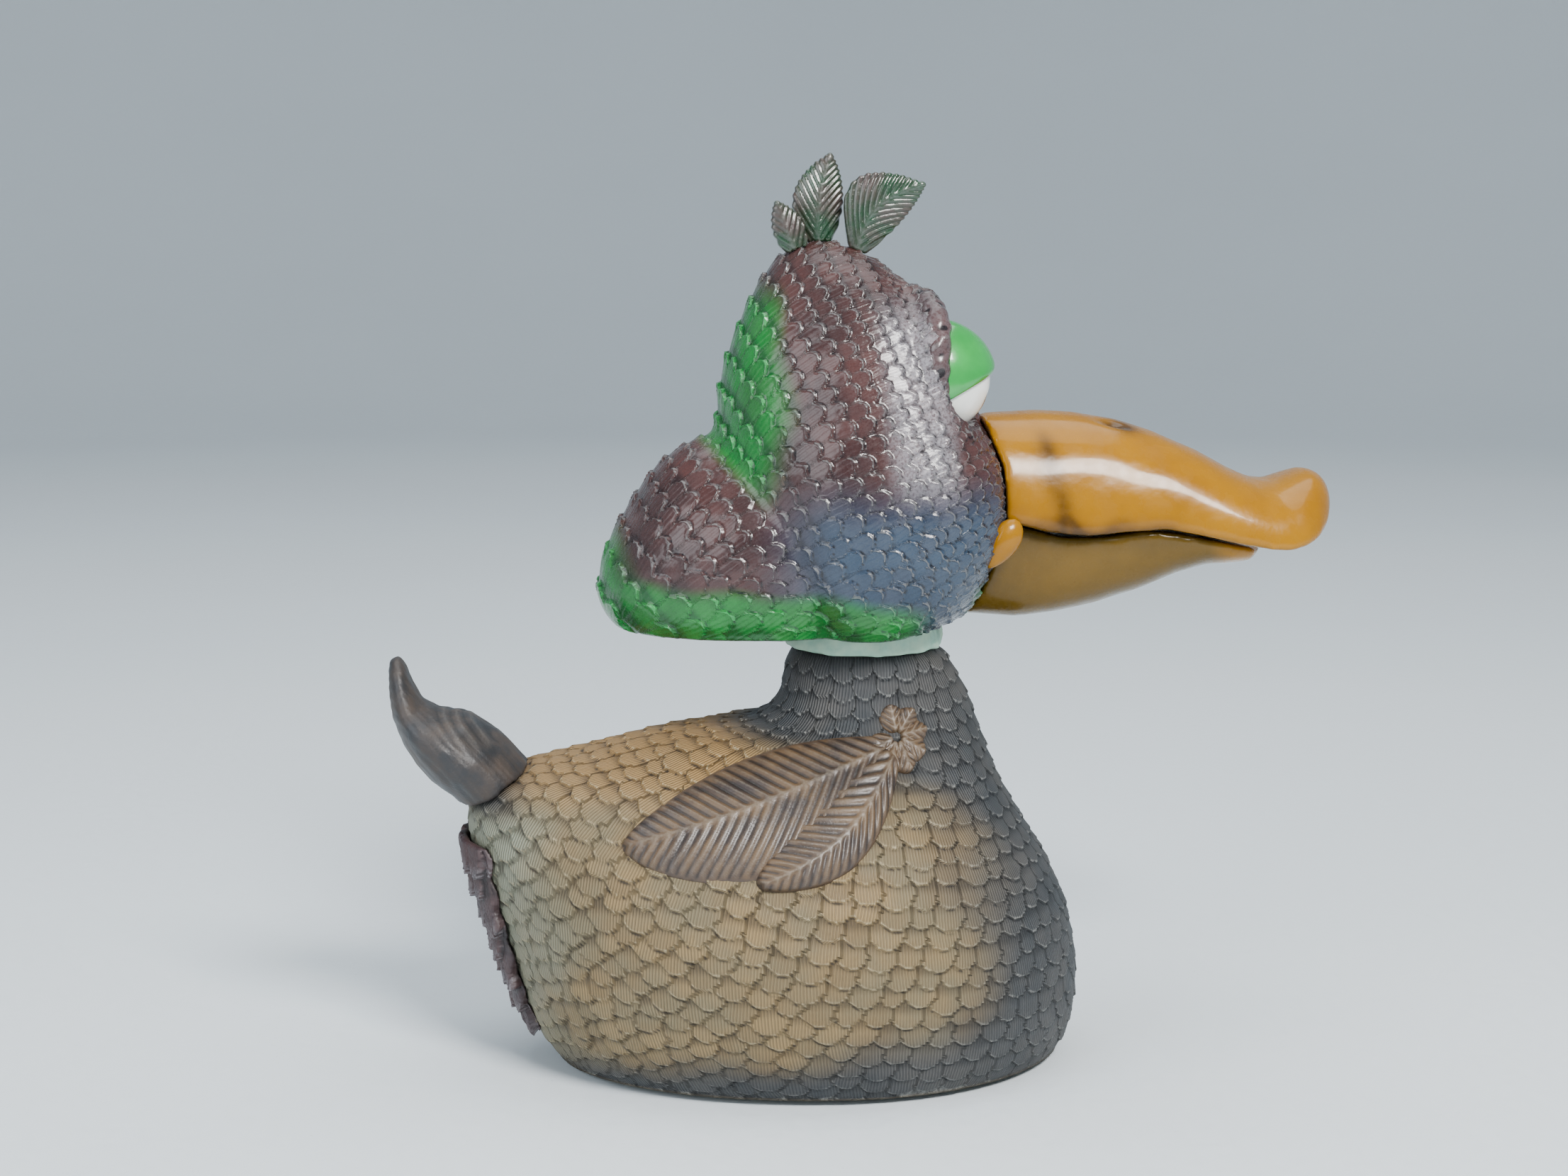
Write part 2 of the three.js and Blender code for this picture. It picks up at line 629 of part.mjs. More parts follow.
function makeCrestFeather({ root, tip, above, below, y }) {
  const half = CREST_THICKNESS / 2;
  return slab(leafOutline(root, tip, above, below), y - half, y + half).subtract(headSkin(GAP));
}

// ---------------------------------------------------------------- the figurine

const paints = {
  drybrushed_tan: { color: 0x8d7f62, roughness: 0.55, metalness: 0 },
  dark_slate: { color: 0x3a4148, roughness: 0.5, metalness: 0 },
  glossy_green: { color: 0x2d5a45, roughness: 0.22, metalness: 0 },
  bright_green: { color: 0x2f9a4e, roughness: 0.3, metalness: 0 },
  white: { color: 0xf1f3f0, roughness: 0.3, metalness: 0 },
  yellow: { color: 0xd2a11e, roughness: 0.25, metalness: 0 },
  olive: { color: 0x8a6b22, roughness: 0.3, metalness: 0 },
  pale_mint: { color: 0xa9c9bd, roughness: 0.6, metalness: 0 },
  black_plastic: { color: 0x1d1f21, roughness: 0.5, metalness: 0 },
  steel: { color: 0xb5b9bd, roughness: 0.35, metalness: 1 },
  felt: { color: 0x23272b, roughness: 0.95, metalness: 0 },
  board: { color: 0x6e5a41, roughness: 0.85, metalness: 0 },
};

const figurine = new THREE.Group();

function place(name, manifold, paint, group = figurine) {
  const mesh = new THREE.Mesh(geometryOf(manifold), new THREE.MeshStandardMaterial(paints[paint]));
  mesh.name = name;
  group.add(mesh);
}

place('body_shell', makeBodyShell(), 'drybrushed_tan');
place('base_plate', makeBasePlate(), 'board');
place('felt_pad', makeFeltPad(), 'felt');
place('tail', makeTail(), 'dark_slate');
place('rump_skirt', makeRumpSkirt(), 'dark_slate');
place('neck_ring', makeNeckRing(), 'pale_mint');
place('spring_plug', makeSpringPlug(), 'black_plastic');
place('plug_screw', makeScrew(SPRING_BOTTOM - GAP + 5, 12, false), 'steel');

const spring = new THREE.Group();
Object.entries(COIL_STRETCHES).forEach(([name, stretch]) => {
  place(name, makeCoil(stretch), 'steel', spring);
});
figurine.add(spring);

const head = new THREE.Group();
place('head_shell', makeHeadShell(), 'glossy_green', head);
place('spring_cap', makeSpringCap(), 'black_plastic', head);
place('cap_screw', makeScrew(SPRING_TOP + GAP - 5, 12, true), 'steel', head);
place('head_strap', makeHeadStrap(), 'steel', head);
place('upper_bill', makeUpperBill(), 'yellow', head);
place('lower_bill', makeLowerBill(), 'olive', head);
Object.entries(CREST).forEach(([name, feather]) => {
  place(name, makeCrestFeather(feather), 'dark_slate', head);
});
SIDES.forEach(([label, side]) => {
  place(`wing_${label}`, makeWing(side), 'drybrushed_tan');
  place(`strap_screw_${label}`, makeScrew(STRAP_BOTTOM, 8, true)
    .translate([0, side * STRAP_SCREW_Y, 0]), 'steel', head);
  place(`eyeball_${label}`, eyeBall(side), 'white', head);
  place(`eyelid_${label}`, makeEyelid(side), 'bright_green', head);
  place(`gape_${label}`, makeGape(side), 'yellow', head);
});
figurine.add(head);

export default figurine;
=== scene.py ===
"""The looks of the bobblehead duck: feathered body, glossy scaled head, bill, eyes, crest and studio."""
import math

import bpy
import numpy as np
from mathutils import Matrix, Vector, kdtree
from mathutils.bvhtree import BVHTree


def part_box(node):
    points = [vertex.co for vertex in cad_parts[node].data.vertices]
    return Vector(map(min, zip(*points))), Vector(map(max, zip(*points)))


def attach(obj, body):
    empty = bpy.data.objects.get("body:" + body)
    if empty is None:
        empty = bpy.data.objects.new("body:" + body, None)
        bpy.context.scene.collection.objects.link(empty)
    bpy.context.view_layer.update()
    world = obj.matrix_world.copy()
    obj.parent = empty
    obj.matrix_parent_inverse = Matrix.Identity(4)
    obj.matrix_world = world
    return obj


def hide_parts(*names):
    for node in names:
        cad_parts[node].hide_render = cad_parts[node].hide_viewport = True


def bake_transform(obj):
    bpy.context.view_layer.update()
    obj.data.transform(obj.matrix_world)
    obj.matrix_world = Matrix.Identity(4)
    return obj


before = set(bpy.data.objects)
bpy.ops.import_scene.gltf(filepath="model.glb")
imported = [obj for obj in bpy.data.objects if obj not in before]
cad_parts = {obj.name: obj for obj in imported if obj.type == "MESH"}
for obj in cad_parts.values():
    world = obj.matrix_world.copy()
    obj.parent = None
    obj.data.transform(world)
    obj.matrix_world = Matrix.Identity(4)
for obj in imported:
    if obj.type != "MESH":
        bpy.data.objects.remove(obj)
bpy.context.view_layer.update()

MM = 0.001
rng = np.random.default_rng(11)
ALONG = np.array([1.0, 0.0, 0.0])
LEFT = np.array([0.0, 1.0, 0.0])
UP = np.array([0.0, 0.0, 1.0])


# ------------------------------------------------------------------ numbers on grids

def smoothstep(low, high, value):
    t = np.clip((np.asarray(value, float) - low) / (high - low), 0.0, 1.0)
    return t * t * (3 - 2 * t)


def unit(vectors):
    return vectors / np.maximum(np.linalg.norm(vectors, axis=-1, keepdims=True), 1e-12)


def blurred(grid, sigma, axis, wrap):
    """The grid after a Gaussian blur along one axis. An axis that doesn't wrap keeps its ends."""
    radius = int(3 * sigma) + 1
    kernel = np.exp(-0.5 * (np.arange(-radius, radius + 1) / sigma) ** 2)
    kernel /= kernel.sum()
    moved = np.moveaxis(grid, axis, 0)
    if wrap:
        padded = np.concatenate([moved[-radius:], moved, moved[:radius]])
    else:
        before = 2 * moved[0] - moved[radius:0:-1]
        after = 2 * moved[-1] - moved[-2:-radius - 2:-1]
        padded = np.concatenate([before, moved, after])
    total = sum(weight * padded[i:i + len(moved)] for i, weight in enumerate(kernel))
    return np.moveaxis(total, 0, axis)


def along_path(path, wanted):
    """Points at the wanted shares, 0 to 1, of the length of a path."""
    steps = np.linalg.norm(np.diff(path, axis=0), axis=1)
    reach = np.concatenate([[0.0], np.cumsum(steps)])
    return np.stack([np.interp(wanted * reach[-1], reach, path[:, k]) for k in range(3)], axis=1)


def path_length(path):
    return float(np.linalg.norm(np.diff(path, axis=0), axis=1).sum())


def ring_around(tree, centre, first, second, rays=360, reach=0.2):
    """Where rays from outside, all in one plane, meet a surface around a centre. The ring is closed."""
    ring = []
    for k in range(rays + 1):
        angle = 2 * math.pi * (k % rays) / rays
        outward = first * math.cos(angle) + second * math.sin(angle)
        hit = tree.ray_cast(Vector(centre + outward * reach), Vector(-outward))[0]
        if hit is not None:
            ring.append(hit[:])
    return np.array(ring)


def tree_of(nodes):
    """A search tree over the outsides of CAD nodes."""
    vertices, faces = [], []
    for node in nodes:
        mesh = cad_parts[node].data
        first = len(vertices)
        vertices += [v.co[:] for v in mesh.vertices]
        faces += [[first + i for i in p.vertices] for p in mesh.polygons]
    return BVHTree.FromPolygons(vertices, faces)


def skin_grid(nodes, centre, keep, rows, columns, blur):
    """The outside of CAD nodes as rows of points from top to bottom, without facets and slots.

    The columns are upright planes through the centre, spaced evenly around the nodes. keep says
    which points of a column belong to the skin.
    """
    tree = tree_of(nodes)
    outline = along_path(ring_around(tree, centre, ALONG, LEFT), np.arange(columns) / columns)
    grid = np.empty((rows, columns, 3))
    for j, point in enumerate(outline):
        outward = unit((point - centre) * (ALONG + LEFT))
        rays, radii = [], []
        for pitch in np.radians(np.linspace(89.6, -70, 300)):
            ray = outward * math.cos(pitch) + UP * math.sin(pitch)
            hit = tree.ray_cast(Vector(centre + ray * 0.2), Vector(-ray))[0]
            if hit is not None and keep(hit):
                rays.append(ray)
                radii.append(np.linalg.norm(np.array(hit) - centre))
            elif rays:
                break
        windows = np.lib.stride_tricks.sliding_window_view(np.pad(radii, 5, mode="edge"), 11)
        path = centre + np.array(rays) * np.median(windows, axis=1)[:, None]
        grid[:, j] = along_path(path, np.linspace(0, 1, rows))
    mirrored = np.roll(grid[:, ::-1], 1, axis=1) * np.array([1, -1, 1])
    grid = (grid + mirrored) / 2
    return blurred(blurred(grid, blur[0], 0, wrap=False), blur[1], 1, wrap=True)


def grid_normals(grid):
    """Outward unit normals of a grid that wraps along its columns."""
    down = np.gradient(grid, axis=0)
    around = (np.roll(grid, -1, axis=1) - np.roll(grid, 1, axis=1)) / 2
    normals = unit(np.cross(around, down))
    outward = np.sum(normals * (grid - grid.mean(axis=(0, 1))))
    return normals if outward > 0 else -normals


def grid_faces(rows, columns, wrap=True):
    across = columns if wrap else columns - 1
    row, column = np.meshgrid(np.arange(rows - 1), np.arange(across), indexing="ij")
    a = row * columns + column
    b = row * columns + (column + 1) % columns
    return np.stack([a, b, b + columns, a + columns], axis=-1).reshape(-1, 4)


def closed_faces(rows, columns):
    """Faces over a wrapped grid, with a fan to one more point at each end."""
    faces = grid_faces(rows, columns).tolist()
    first, last, end = rows * columns, rows * columns + 1, (rows - 1) * columns
    for j in range(columns):
        k = (j + 1) % columns
        faces.append([first, k, j])
        faces.append([last, end + j, end + k])
    return faces


def with_ends(grid):
    return np.concatenate([grid.reshape(-1, 3), [grid[0].mean(axis=0)], [grid[-1].mean(axis=0)]])


# ------------------------------------------------------------------ meshes

def signed_volume(mesh):
    mesh.calc_loop_triangles()
    corners = np.zeros(len(mesh.loop_triangles) * 3, np.int32)
    mesh.loop_triangles.foreach_get("vertices", corners)
    a, b, c = places_of(mesh)[corners.reshape(-1, 3)].transpose(1, 0, 2)
    return float(np.sum(a * np.cross(b, c)))


def places_of(mesh):
    places = np.zeros(len(mesh.vertices) * 3, np.float32)
    mesh.vertices.foreach_get("co", places)
    return places.reshape(-1, 3).astype(float)


def normals_of(mesh):
    normals = np.zeros(len(mesh.vertices) * 3, np.float32)
    mesh.vertices.foreach_get("normal", normals)
    return normals.reshape(-1, 3).astype(float)


def place(mesh, places):
    mesh.vertices.foreach_set("co", np.asarray(places, np.float32).ravel())
    mesh.update()


def paint(mesh, masks):
    """Stores numbers per point, which the material reads."""
    for key, values in masks.items():
        attribute = mesh.attributes.new(key, "FLOAT", "POINT")
        attribute.data.foreach_set("value", np.asarray(values, np.float32).ravel())


def make_piece(name, vertices, faces, material, masks=None):
    mesh = bpy.data.meshes.new(name)
    mesh.from_pydata(np.asarray(vertices).tolist(), [], faces)
    mesh.update()
    if signed_volume(mesh) < 0:
        mesh.flip_normals()
    paint(mesh, masks or {})
    mesh.shade_smooth()
    mesh.materials.append(material)
    piece = bpy.data.objects.new(name, mesh)
    bpy.context.scene.collection.objects.link(piece)
    return piece


def soft_copy(name, node, material, voxel=0.4, passes=14):
    """A fine, rounded copy of a CAD node, without its facets and sharp edges."""
    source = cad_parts[node].data.copy()
    piece = bpy.data.objects.new(name, source)
    bpy.context.scene.collection.objects.link(piece)
    remesh = piece.modifiers.new("remesh", "REMESH")
    remesh.mode = "VOXEL"
    remesh.voxel_size = voxel * MM
    smooth = piece.modifiers.new("smooth", "SMOOTH")
    smooth.factor = 0.5
    smooth.iterations = passes
    bpy.context.view_layer.update()
    evaluated = piece.evaluated_get(bpy.context.evaluated_depsgraph_get())
    mesh = bpy.data.meshes.new_from_object(evaluated)
    piece.modifiers.clear()
    piece.data = mesh
    mesh.materials.clear()
    mesh.materials.append(material)
    mesh.shade_smooth()
    return piece


# ------------------------------------------------------------------ scales and feathers

def noise_at(points, size, seed=0):
    """Smooth noise from -1 to 1 made of waves, with features of about one size in metres."""
    local = np.random.default_rng(100 + seed)
    total = np.zeros(len(points))
    for _ in range(7):
        direction = unit(local.normal(size=3))
        total += np.sin(points @ direction * (2 * math.pi / size) * local.uniform(0.6, 1.3)
                        + local.uniform(0, 2 * math.pi))
    return total / 4


class Scales:
    """Scales that overlap on a surface. Each has a place, a tip direction, a width and a length."""

    def __init__(self):
        self.rows = []

    def add(self, place, tip, normal, width, length):
        tip = unit(tip - normal * np.dot(tip, normal))
        self.rows.append((place, tip, np.cross(normal, tip), width, length, rng.random()))

    def cover(self, points, pointed, thickness, lip, neighbours=10):
        """The highest scale over each point: its height, and where on it the point is.

        pointed is how much the tip draws back towards the sides, and lip the height of its rim.
        """
        places, tips, sides, widths, lengths, randoms = map(np.array, zip(*self.rows))
        finder = kdtree.KDTree(len(places))
        for i, spot in enumerate(places):
            finder.insert(spot, i)
        finder.balance()
        near = np.array([[found[1] for found in finder.find_n(p, neighbours)] for p in points.tolist()])
        offset = points[:, None, :] - places[near]
        half = widths[near] / 2
        across = np.einsum("pkc,pkc->pk", offset, sides[near]) / half
        along = np.einsum("pkc,pkc->pk", offset, tips[near]) / lengths[near]
        tip_gap = (0.5 - pointed * np.abs(across) ** 2.2 - along) * lengths[near]
        side_gap = (1.06 - 0.25 * np.clip(-along, 0, 1) - np.abs(across)) * half
        inside = np.minimum(tip_gap * 0.92, side_gap)
        edge_round = smoothstep(0, 0.3 * MM, inside)
        rise = 0.12 + 0.88 * np.clip(along + 0.5, 0, 1) ** 1.15
        rim = lip * np.exp(-((inside / MM - 0.45) / 0.25) ** 2) * smoothstep(-0.1, 0.3, along)
        dome = 0.16 * (1 - across ** 2)
        uneven = 0.85 + 0.3 * randoms[near]
        height = thickness * uneven * (rise + dome + rim) * edge_round
        covered = (inside > 0) & (along > -0.7)
        best = np.argmax(np.where(covered, height, -1.0), axis=1)
        pick = (np.arange(len(points)), best)
        # painted shade on the skin just beyond each scale's tip, fading towards its sides, where the scale
        # overlaps the next
        beyond = (tip_gap < 0) & (tip_gap > -1.6 * MM) & (np.abs(across) < 0.95)
        fade = smoothstep(0.95, 0.7, np.abs(across))
        shade = np.where(beyond, fade * np.exp(tip_gap / (0.36 * MM)), 0.0).max(axis=1)
        return {
            "height": np.where(covered[pick], height[pick], 0.0),
            "painted_shade": np.clip(shade, 0, 1),
            "across": across[pick] * half[pick] / MM,
            "rise": np.clip(along[pick] + 0.5, 0, 1),
            "inside": np.clip(inside[pick] / MM, 0, 3),
            "random": randoms[near][pick],
        }


class Skin:
    """A smooth grid that scales are laid on."""

    def __init__(self, grid):
        self.grid = grid
        self.normals = grid_normals(grid)
        self.tips = unit(np.gradient(grid, axis=0)).reshape(-1, 3)
        self.flat_normals = self.normals.reshape(-1, 3)
        points = grid.reshape(-1, 3)
        self.finder = kdtree.KDTree(len(points))
        for i, spot in enumerate(points.tolist()):
            self.finder.insert(spot, i)
        self.finder.balance()
        rows, columns = grid.shape[:2]
        self.tree = BVHTree.FromPolygons(with_ends(grid).tolist(), closed_faces(rows, columns))

    def normal_and_tip(self, spot):
        index = self.finder.find(spot)[1]
        return self.flat_normals[index], self.tips[index]


def feather_masks(points, root, tip, pitch, slant=0.9, curl=0.0):
    """How far across a feather points are, in metres, its barb waves, its quill and the share along it.

    root and tip are [x, z] in metres, and curl the sideways bow of the quill between them.
    """
    root, tip = np.array(root), np.array(tip)
    length = np.linalg.norm(tip - root)
    forward = (tip - root) / length
    flat = points[:, [0, 2]] - root
    along = flat @ forward
    across = flat @ np.array([-forward[1], forward[0]])
    share = np.clip(along / length, 0, 1)
    across = across - curl * np.sin(math.pi * share)
    barbs = np.sin((along - np.abs(across) * slant) * (2 * math.pi / pitch))
    quill = np.exp(-(across / (0.5 * MM)) ** 2)
    return across, barbs, quill, share


# ------------------------------------------------------------------ materials

class Shader:
    """A material built node by node around one Principled shader."""

    def __init__(self, name, **uniform):
        self.material = bpy.data.materials.new(name)
        self.material.use_nodes = True
        self.tree = self.material.node_tree
        self.tree.nodes.clear()
        self.surface = self.tree.nodes.new("ShaderNodeBsdfPrincipled")
        output = self.tree.nodes.new("ShaderNodeOutputMaterial")
        self.tree.links.new(self.surface.outputs["BSDF"], output.inputs["Surface"])
        for key, value in uniform.items():
            self.surface.inputs[key.replace("_", " ")].default_value = value
        coordinates = self.tree.nodes.new("ShaderNodeTexCoord")
        self.where = coordinates.outputs["Object"]

    def fill(self, socket, value):
        if isinstance(value, bpy.types.NodeSocket):
            self.tree.links.new(value, socket)
        elif isinstance(value, tuple) and len(value) == 3 and socket.type == "RGBA":
            socket.default_value = (*value, 1.0)
        else:
            socket.default_value = value

    def mask(self, name):
        node = self.tree.nodes.new("ShaderNodeAttribute")
        node.attribute_name = name
        return node.outputs["Fac"]

    def noise(self, size, detail=4.0, roughness=0.55, vector=None):
        """Noise from 0 to 1 with features of one size, in millimetres."""
        node = self.tree.nodes.new("ShaderNodeTexNoise")
        self.fill(node.inputs["Vector"], vector or self.where)
        node.inputs["Scale"].default_value = 1 / (size * MM)
        node.inputs["Detail"].default_value = detail
        node.inputs["Roughness"].default_value = roughness
        return node.outputs["Fac"]

    def math(self, operation, a, b=0.0):
        node = self.tree.nodes.new("ShaderNodeMath")
        node.operation = operation
        self.fill(node.inputs[0], a)
        self.fill(node.inputs[1], b)
        return node.outputs[0]

    def step(self, value, low, high, start=0.0, end=1.0):
        node = self.tree.nodes.new("ShaderNodeMapRange")
        node.interpolation_type = "SMOOTHSTEP"
        self.fill(node.inputs["Value"], value)
        node.inputs["From Min"].default_value = low
        node.inputs["From Max"].default_value = high
        node.inputs["To Min"].default_value = start
        node.inputs["To Max"].default_value = end
        return node.outputs["Result"]

    def mix(self, factor, a, b):
        node = self.tree.nodes.new("ShaderNodeMix")
        node.data_type = "RGBA"
        self.fill(node.inputs["Factor"], factor)
        self.fill(node.inputs[6], a)
        self.fill(node.inputs[7], b)
        return node.outputs[2]

    def bump(self, height, depth, normal=None):
        """Relief of that depth, in millimetres, from a height of 0 to 1."""
        node = self.tree.nodes.new("ShaderNodeBump")
        node.inputs["Strength"].default_value = 1.0
        node.inputs["Distance"].default_value = depth * MM
        self.fill(node.inputs["Height"], height)
        if normal is not None:
            self.fill(node.inputs["Normal"], normal)
        return node.outputs["Normal"]

    def finish(self, colour, roughness, normal=None):
        self.fill(self.surface.inputs["Base Color"], colour)
        self.fill(self.surface.inputs["Roughness"], roughness)
        if normal is not None:
            self.fill(self.surface.inputs["Normal"], normal)
        return self.material


def hair_lines(shader, position, pitch):
    """Fine uneven lines from 0 to 1 along a scale, at a pitch in millimetres across it."""
    drift = shader.math("MULTIPLY", shader.noise(2.5, 2.0), 2.2)
    turn = shader.math("ADD", shader.math("MULTIPLY", position, 2 * math.pi / pitch), drift)
    wave = shader.math("SINE", turn)
    return shader.step(wave, -1.0, 1.0)


def body_paint():
    """Matt tan, drybrushed, with painted shade; dark slate on the breast, the neck and the lower edge."""
    s = Shader("drybrushed_tan_and_slate", Specular_IOR_Level=0.35)
    cloud = s.noise(14.0, 5.0)
    grain = s.noise(0.6, 3.0)
    lines = hair_lines(s, s.mask("across"), 0.62)
    tan = s.mix(s.step(s.mask("random"), 0.1, 0.9), (0.185, 0.128, 0.060), (0.255, 0.175, 0.078))
    tan = s.mix(s.step(cloud, 0.35, 0.7), tan, (0.165, 0.140, 0.082))
    warm = s.mix(s.mask("warm"), tan, (0.33, 0.19, 0.066))
    pale = s.mix(s.mask("pale"), warm, (0.235, 0.265, 0.205))
    slate = s.mix(s.step(cloud, 0.3, 0.7), (0.036, 0.041, 0.046), (0.074, 0.071, 0.068))
    base = s.mix(s.mask("slate"), pale, slate)
    # painted shade in the valleys between the fine lines
    valley = s.step(lines, 0.55, 0.0, 0.0, 0.5)
    shaded_and_washed = s.mix(valley, base, s.mix(s.mask("slate"), (0.085, 0.058, 0.030), (0.009, 0.011, 0.014)))
    # painted shade at the root of each scale, under the tip of the scale above, and just beyond each tip
    root = s.step(s.mask("rise"), 0.62, 0.3, 0.0, 0.6)
    shade_and_wash = s.math("MAXIMUM", root, s.step(s.mask("painted_shade"), 0.1, 0.8, 0.0, 0.92))
    shaded = s.mix(shade_and_wash, shaded_and_washed, s.mix(s.mask("slate"), (0.035, 0.025, 0.016), (0.004, 0.005, 0.007)))
    brushed = s.math("MULTIPLY", s.step(s.mask("inside"), 0.75, 0.25), s.step(s.mask("rise"), 0.45, 0.8))
    brushed = s.math("MULTIPLY", brushed, s.step(grain, 0.38, 0.62, 0.25, 0.8))
    highlight = s.mix(s.mask("slate"), (0.40, 0.33, 0.20), (0.22, 0.22, 0.21))
    colour = s.mix(brushed, shaded, highlight)
    relief = s.bump(lines, 0.16)
    relief = s.bump(grain, 0.07, relief)
    rough = s.step(s.noise(5.0), 0.3, 0.7, 0.5, 0.68)
    return s.finish(colour, rough, relief)


def head_paint():
    """Gloss green, purple brown and slate, pale along the rims of the scales, with painted shade and a
    painted highlight.
    """
    s = Shader("gloss_green_and_bronze", Coat_Weight=0.42, Coat_Roughness=0.12, Specular_IOR_Level=0.3)
    cloud = s.noise(9.0, 4.0)
    grain = s.noise(0.5, 3.0)
    brown = s.mix(s.step(cloud, 0.35, 0.7), (0.030, 0.012, 0.012), (0.062, 0.024, 0.022))
    blue = s.mix(s.step(cloud, 0.3, 0.7), (0.010, 0.030, 0.060), (0.024, 0.050, 0.085))
    green = s.mix(s.step(cloud, 0.3, 0.7), (0.002, 0.105, 0.014), (0.004, 0.180, 0.026))
    base = s.mix(s.mask("blue"), brown, blue)
    base = s.mix(s.mask("green"), base, green)
    varied = s.mix(s.step(s.mask("random"), 0.0, 1.0, 0.0, 0.10), base, (0.12, 0.09, 0.09))
    # a painted highlight, pale grey, where its mask says
    painted_highlight = s.mix(s.math("MULTIPLY", s.mask("painted_highlight"), s.step(grain, 0.3, 0.6, 0.3, 0.8)),
                   varied, (0.50, 0.50, 0.55))
    # painted shade just beyond the scale tips and at the scale roots, in the dark colour below
    shade_and_wash = s.math("MAXIMUM", s.step(s.mask("painted_shade"), 0.1, 0.8, 0.0, 0.9),
                  s.step(s.mask("rise"), 0.4, 0.15, 0.0, 0.6))
    dark = s.mix(s.mask("green"), (0.006, 0.005, 0.007), (0.002, 0.025, 0.008))
    shaded = s.mix(shade_and_wash, painted_highlight, dark)
    rim = s.math("MULTIPLY", s.step(s.mask("inside"), 0.62, 0.38), s.step(s.mask("inside"), 0.02, 0.2))
    rim = s.math("MULTIPLY", rim, s.step(s.mask("rise"), 0.45, 0.8, 0.0, 0.65))
    pale = s.mix(s.mask("green"), (0.13, 0.13, 0.13), (0.03, 0.30, 0.08))
    colour = s.mix(rim, shaded, pale)
    ridge = s.bump(s.step(s.mask("inside"), 0.7, 0.4), 0.14)
    ribs = hair_lines(s, s.mask("across"), 1.1)
    relief = s.bump(ribs, 0.05, ridge)
    relief = s.bump(s.noise(1.2), 0.09, relief)
    return s.finish(colour, s.step(grain, 0.3, 0.7, 0.22, 0.36), relief)


def feather_paint(name, dark, light, edge, gloss=0.0, roughness=0.5):
    """Carved feathers: a painted highlight on the ridges, painted shade in the cuts."""
    s = Shader(name, Coat_Weight=gloss, Coat_Roughness=0.15)
    cloud = s.noise(6.0, 4.0)
    grain = s.noise(0.5, 3.0)
    base = s.mix(s.step(cloud, 0.3, 0.7), dark, light)
    # painted shade in the cuts, then a painted highlight in the edge colour on the ridges
    cut = s.mix(s.step(s.mask("cut"), 0.1, 0.9, 0.0, 0.85), base, tuple(0.3 * c for c in dark))
    ridge = s.math("MULTIPLY", s.mask("ridge"), s.step(grain, 0.35, 0.6, 0.3, 1.0))
    colour = s.mix(ridge, cut, edge)
    relief = s.bump(s.noise(0.9), 0.08)
    relief = s.bump(grain, 0.05, relief)
    return s.finish(colour, s.step(cloud, 0.3, 0.7, roughness - 0.07, roughness + 0.08), relief)


def plain_paint(name, first, second, roughness, size=8.0, gloss=0.0, metallic=0.0, depth=0.04):
    """One paint with soft clouds, fine dirt and a slightly uneven face."""
    s = Shader(name, Coat_Weight=gloss, Coat_Roughness=0.08, Metallic=metallic)
    colour = s.mix(s.step(s.noise(size, 4.0), 0.3, 0.7), first, second)
    dirt = s.step(s.noise(1.6, 6.0, 0.7), 0.62, 0.78, 0.0, 0.35)
    colour = s.mix(dirt, colour, tuple(0.35 * c for c in first))
    rough = s.step(s.noise(3.0), 0.3, 0.7, roughness * 0.8, min(1.0, roughness * 1.25))
    relief = s.bump(s.noise(2.2, 2.0), depth)
    relief = s.bump(s.noise(0.35, 2.0), depth * 0.3, relief)
    return s.finish(colour, rough, relief)


def bill_paint(name, bright, deep, shade_and_wash):
    """Gloss paint with a yellow tip, and dark brown marks and painted shade, where the masks say."""
    s = Shader(name, Coat_Weight=0.3, Coat_Roughness=0.1, Specular_IOR_Level=0.2)
    colour = s.mix(s.step(s.noise(16.0, 4.0), 0.3, 0.7), bright, deep)
    colour = s.mix(s.mask("tip"), colour, BILL_YELLOW)
    shaded_and_washed = s.math("MULTIPLY", s.mask("shade_and_wash"), s.step(s.noise(6.0, 4.0, 0.5), 0.3, 0.7, 0.6, 1.0))
    colour = s.mix(shaded_and_washed, colour, shade_and_wash)
    speck = s.step(s.noise(0.7, 3.0), 0.7, 0.78, 0.0, 0.4)
    colour = s.mix(speck, colour, tuple(0.5 * c for c in deep))
    relief = s.bump(s.noise(4.0, 2.0), 0.12)
    relief = s.bump(s.noise(0.6, 3.0), 0.02, relief)
    return s.finish(colour, s.step(s.noise(2.5), 0.3, 0.7, 0.2, 0.34), relief)


def eye_paint():
    s = Shader("gloss_eye", Coat_Weight=1.0, Coat_Roughness=0.03)
    white = s.mix(s.step(s.noise(4.0), 0.3, 0.7), (0.86, 0.85, 0.80), (0.78, 0.78, 0.74))
    colour = s.mix(s.mask("pupil"), white, (0.006, 0.006, 0.007))
    return s.finish(colour, s.step(s.noise(1.0), 0.3, 0.7, 0.12, 0.2), s.bump(s.noise(1.5), 0.02))


def steel_paint(name, tint):
    s = Shader(name, Metallic=1.0)
    colour = s.mix(s.step(s.noise(2.0, 5.0), 0.3, 0.7), tint, tuple(0.7 * c for c in tint))
    relief = s.bump(s.noise(0.3, 3.0), 0.02)
    return s.finish(colour, s.step(s.noise(1.2), 0.3, 0.7, 0.22, 0.42), relief)


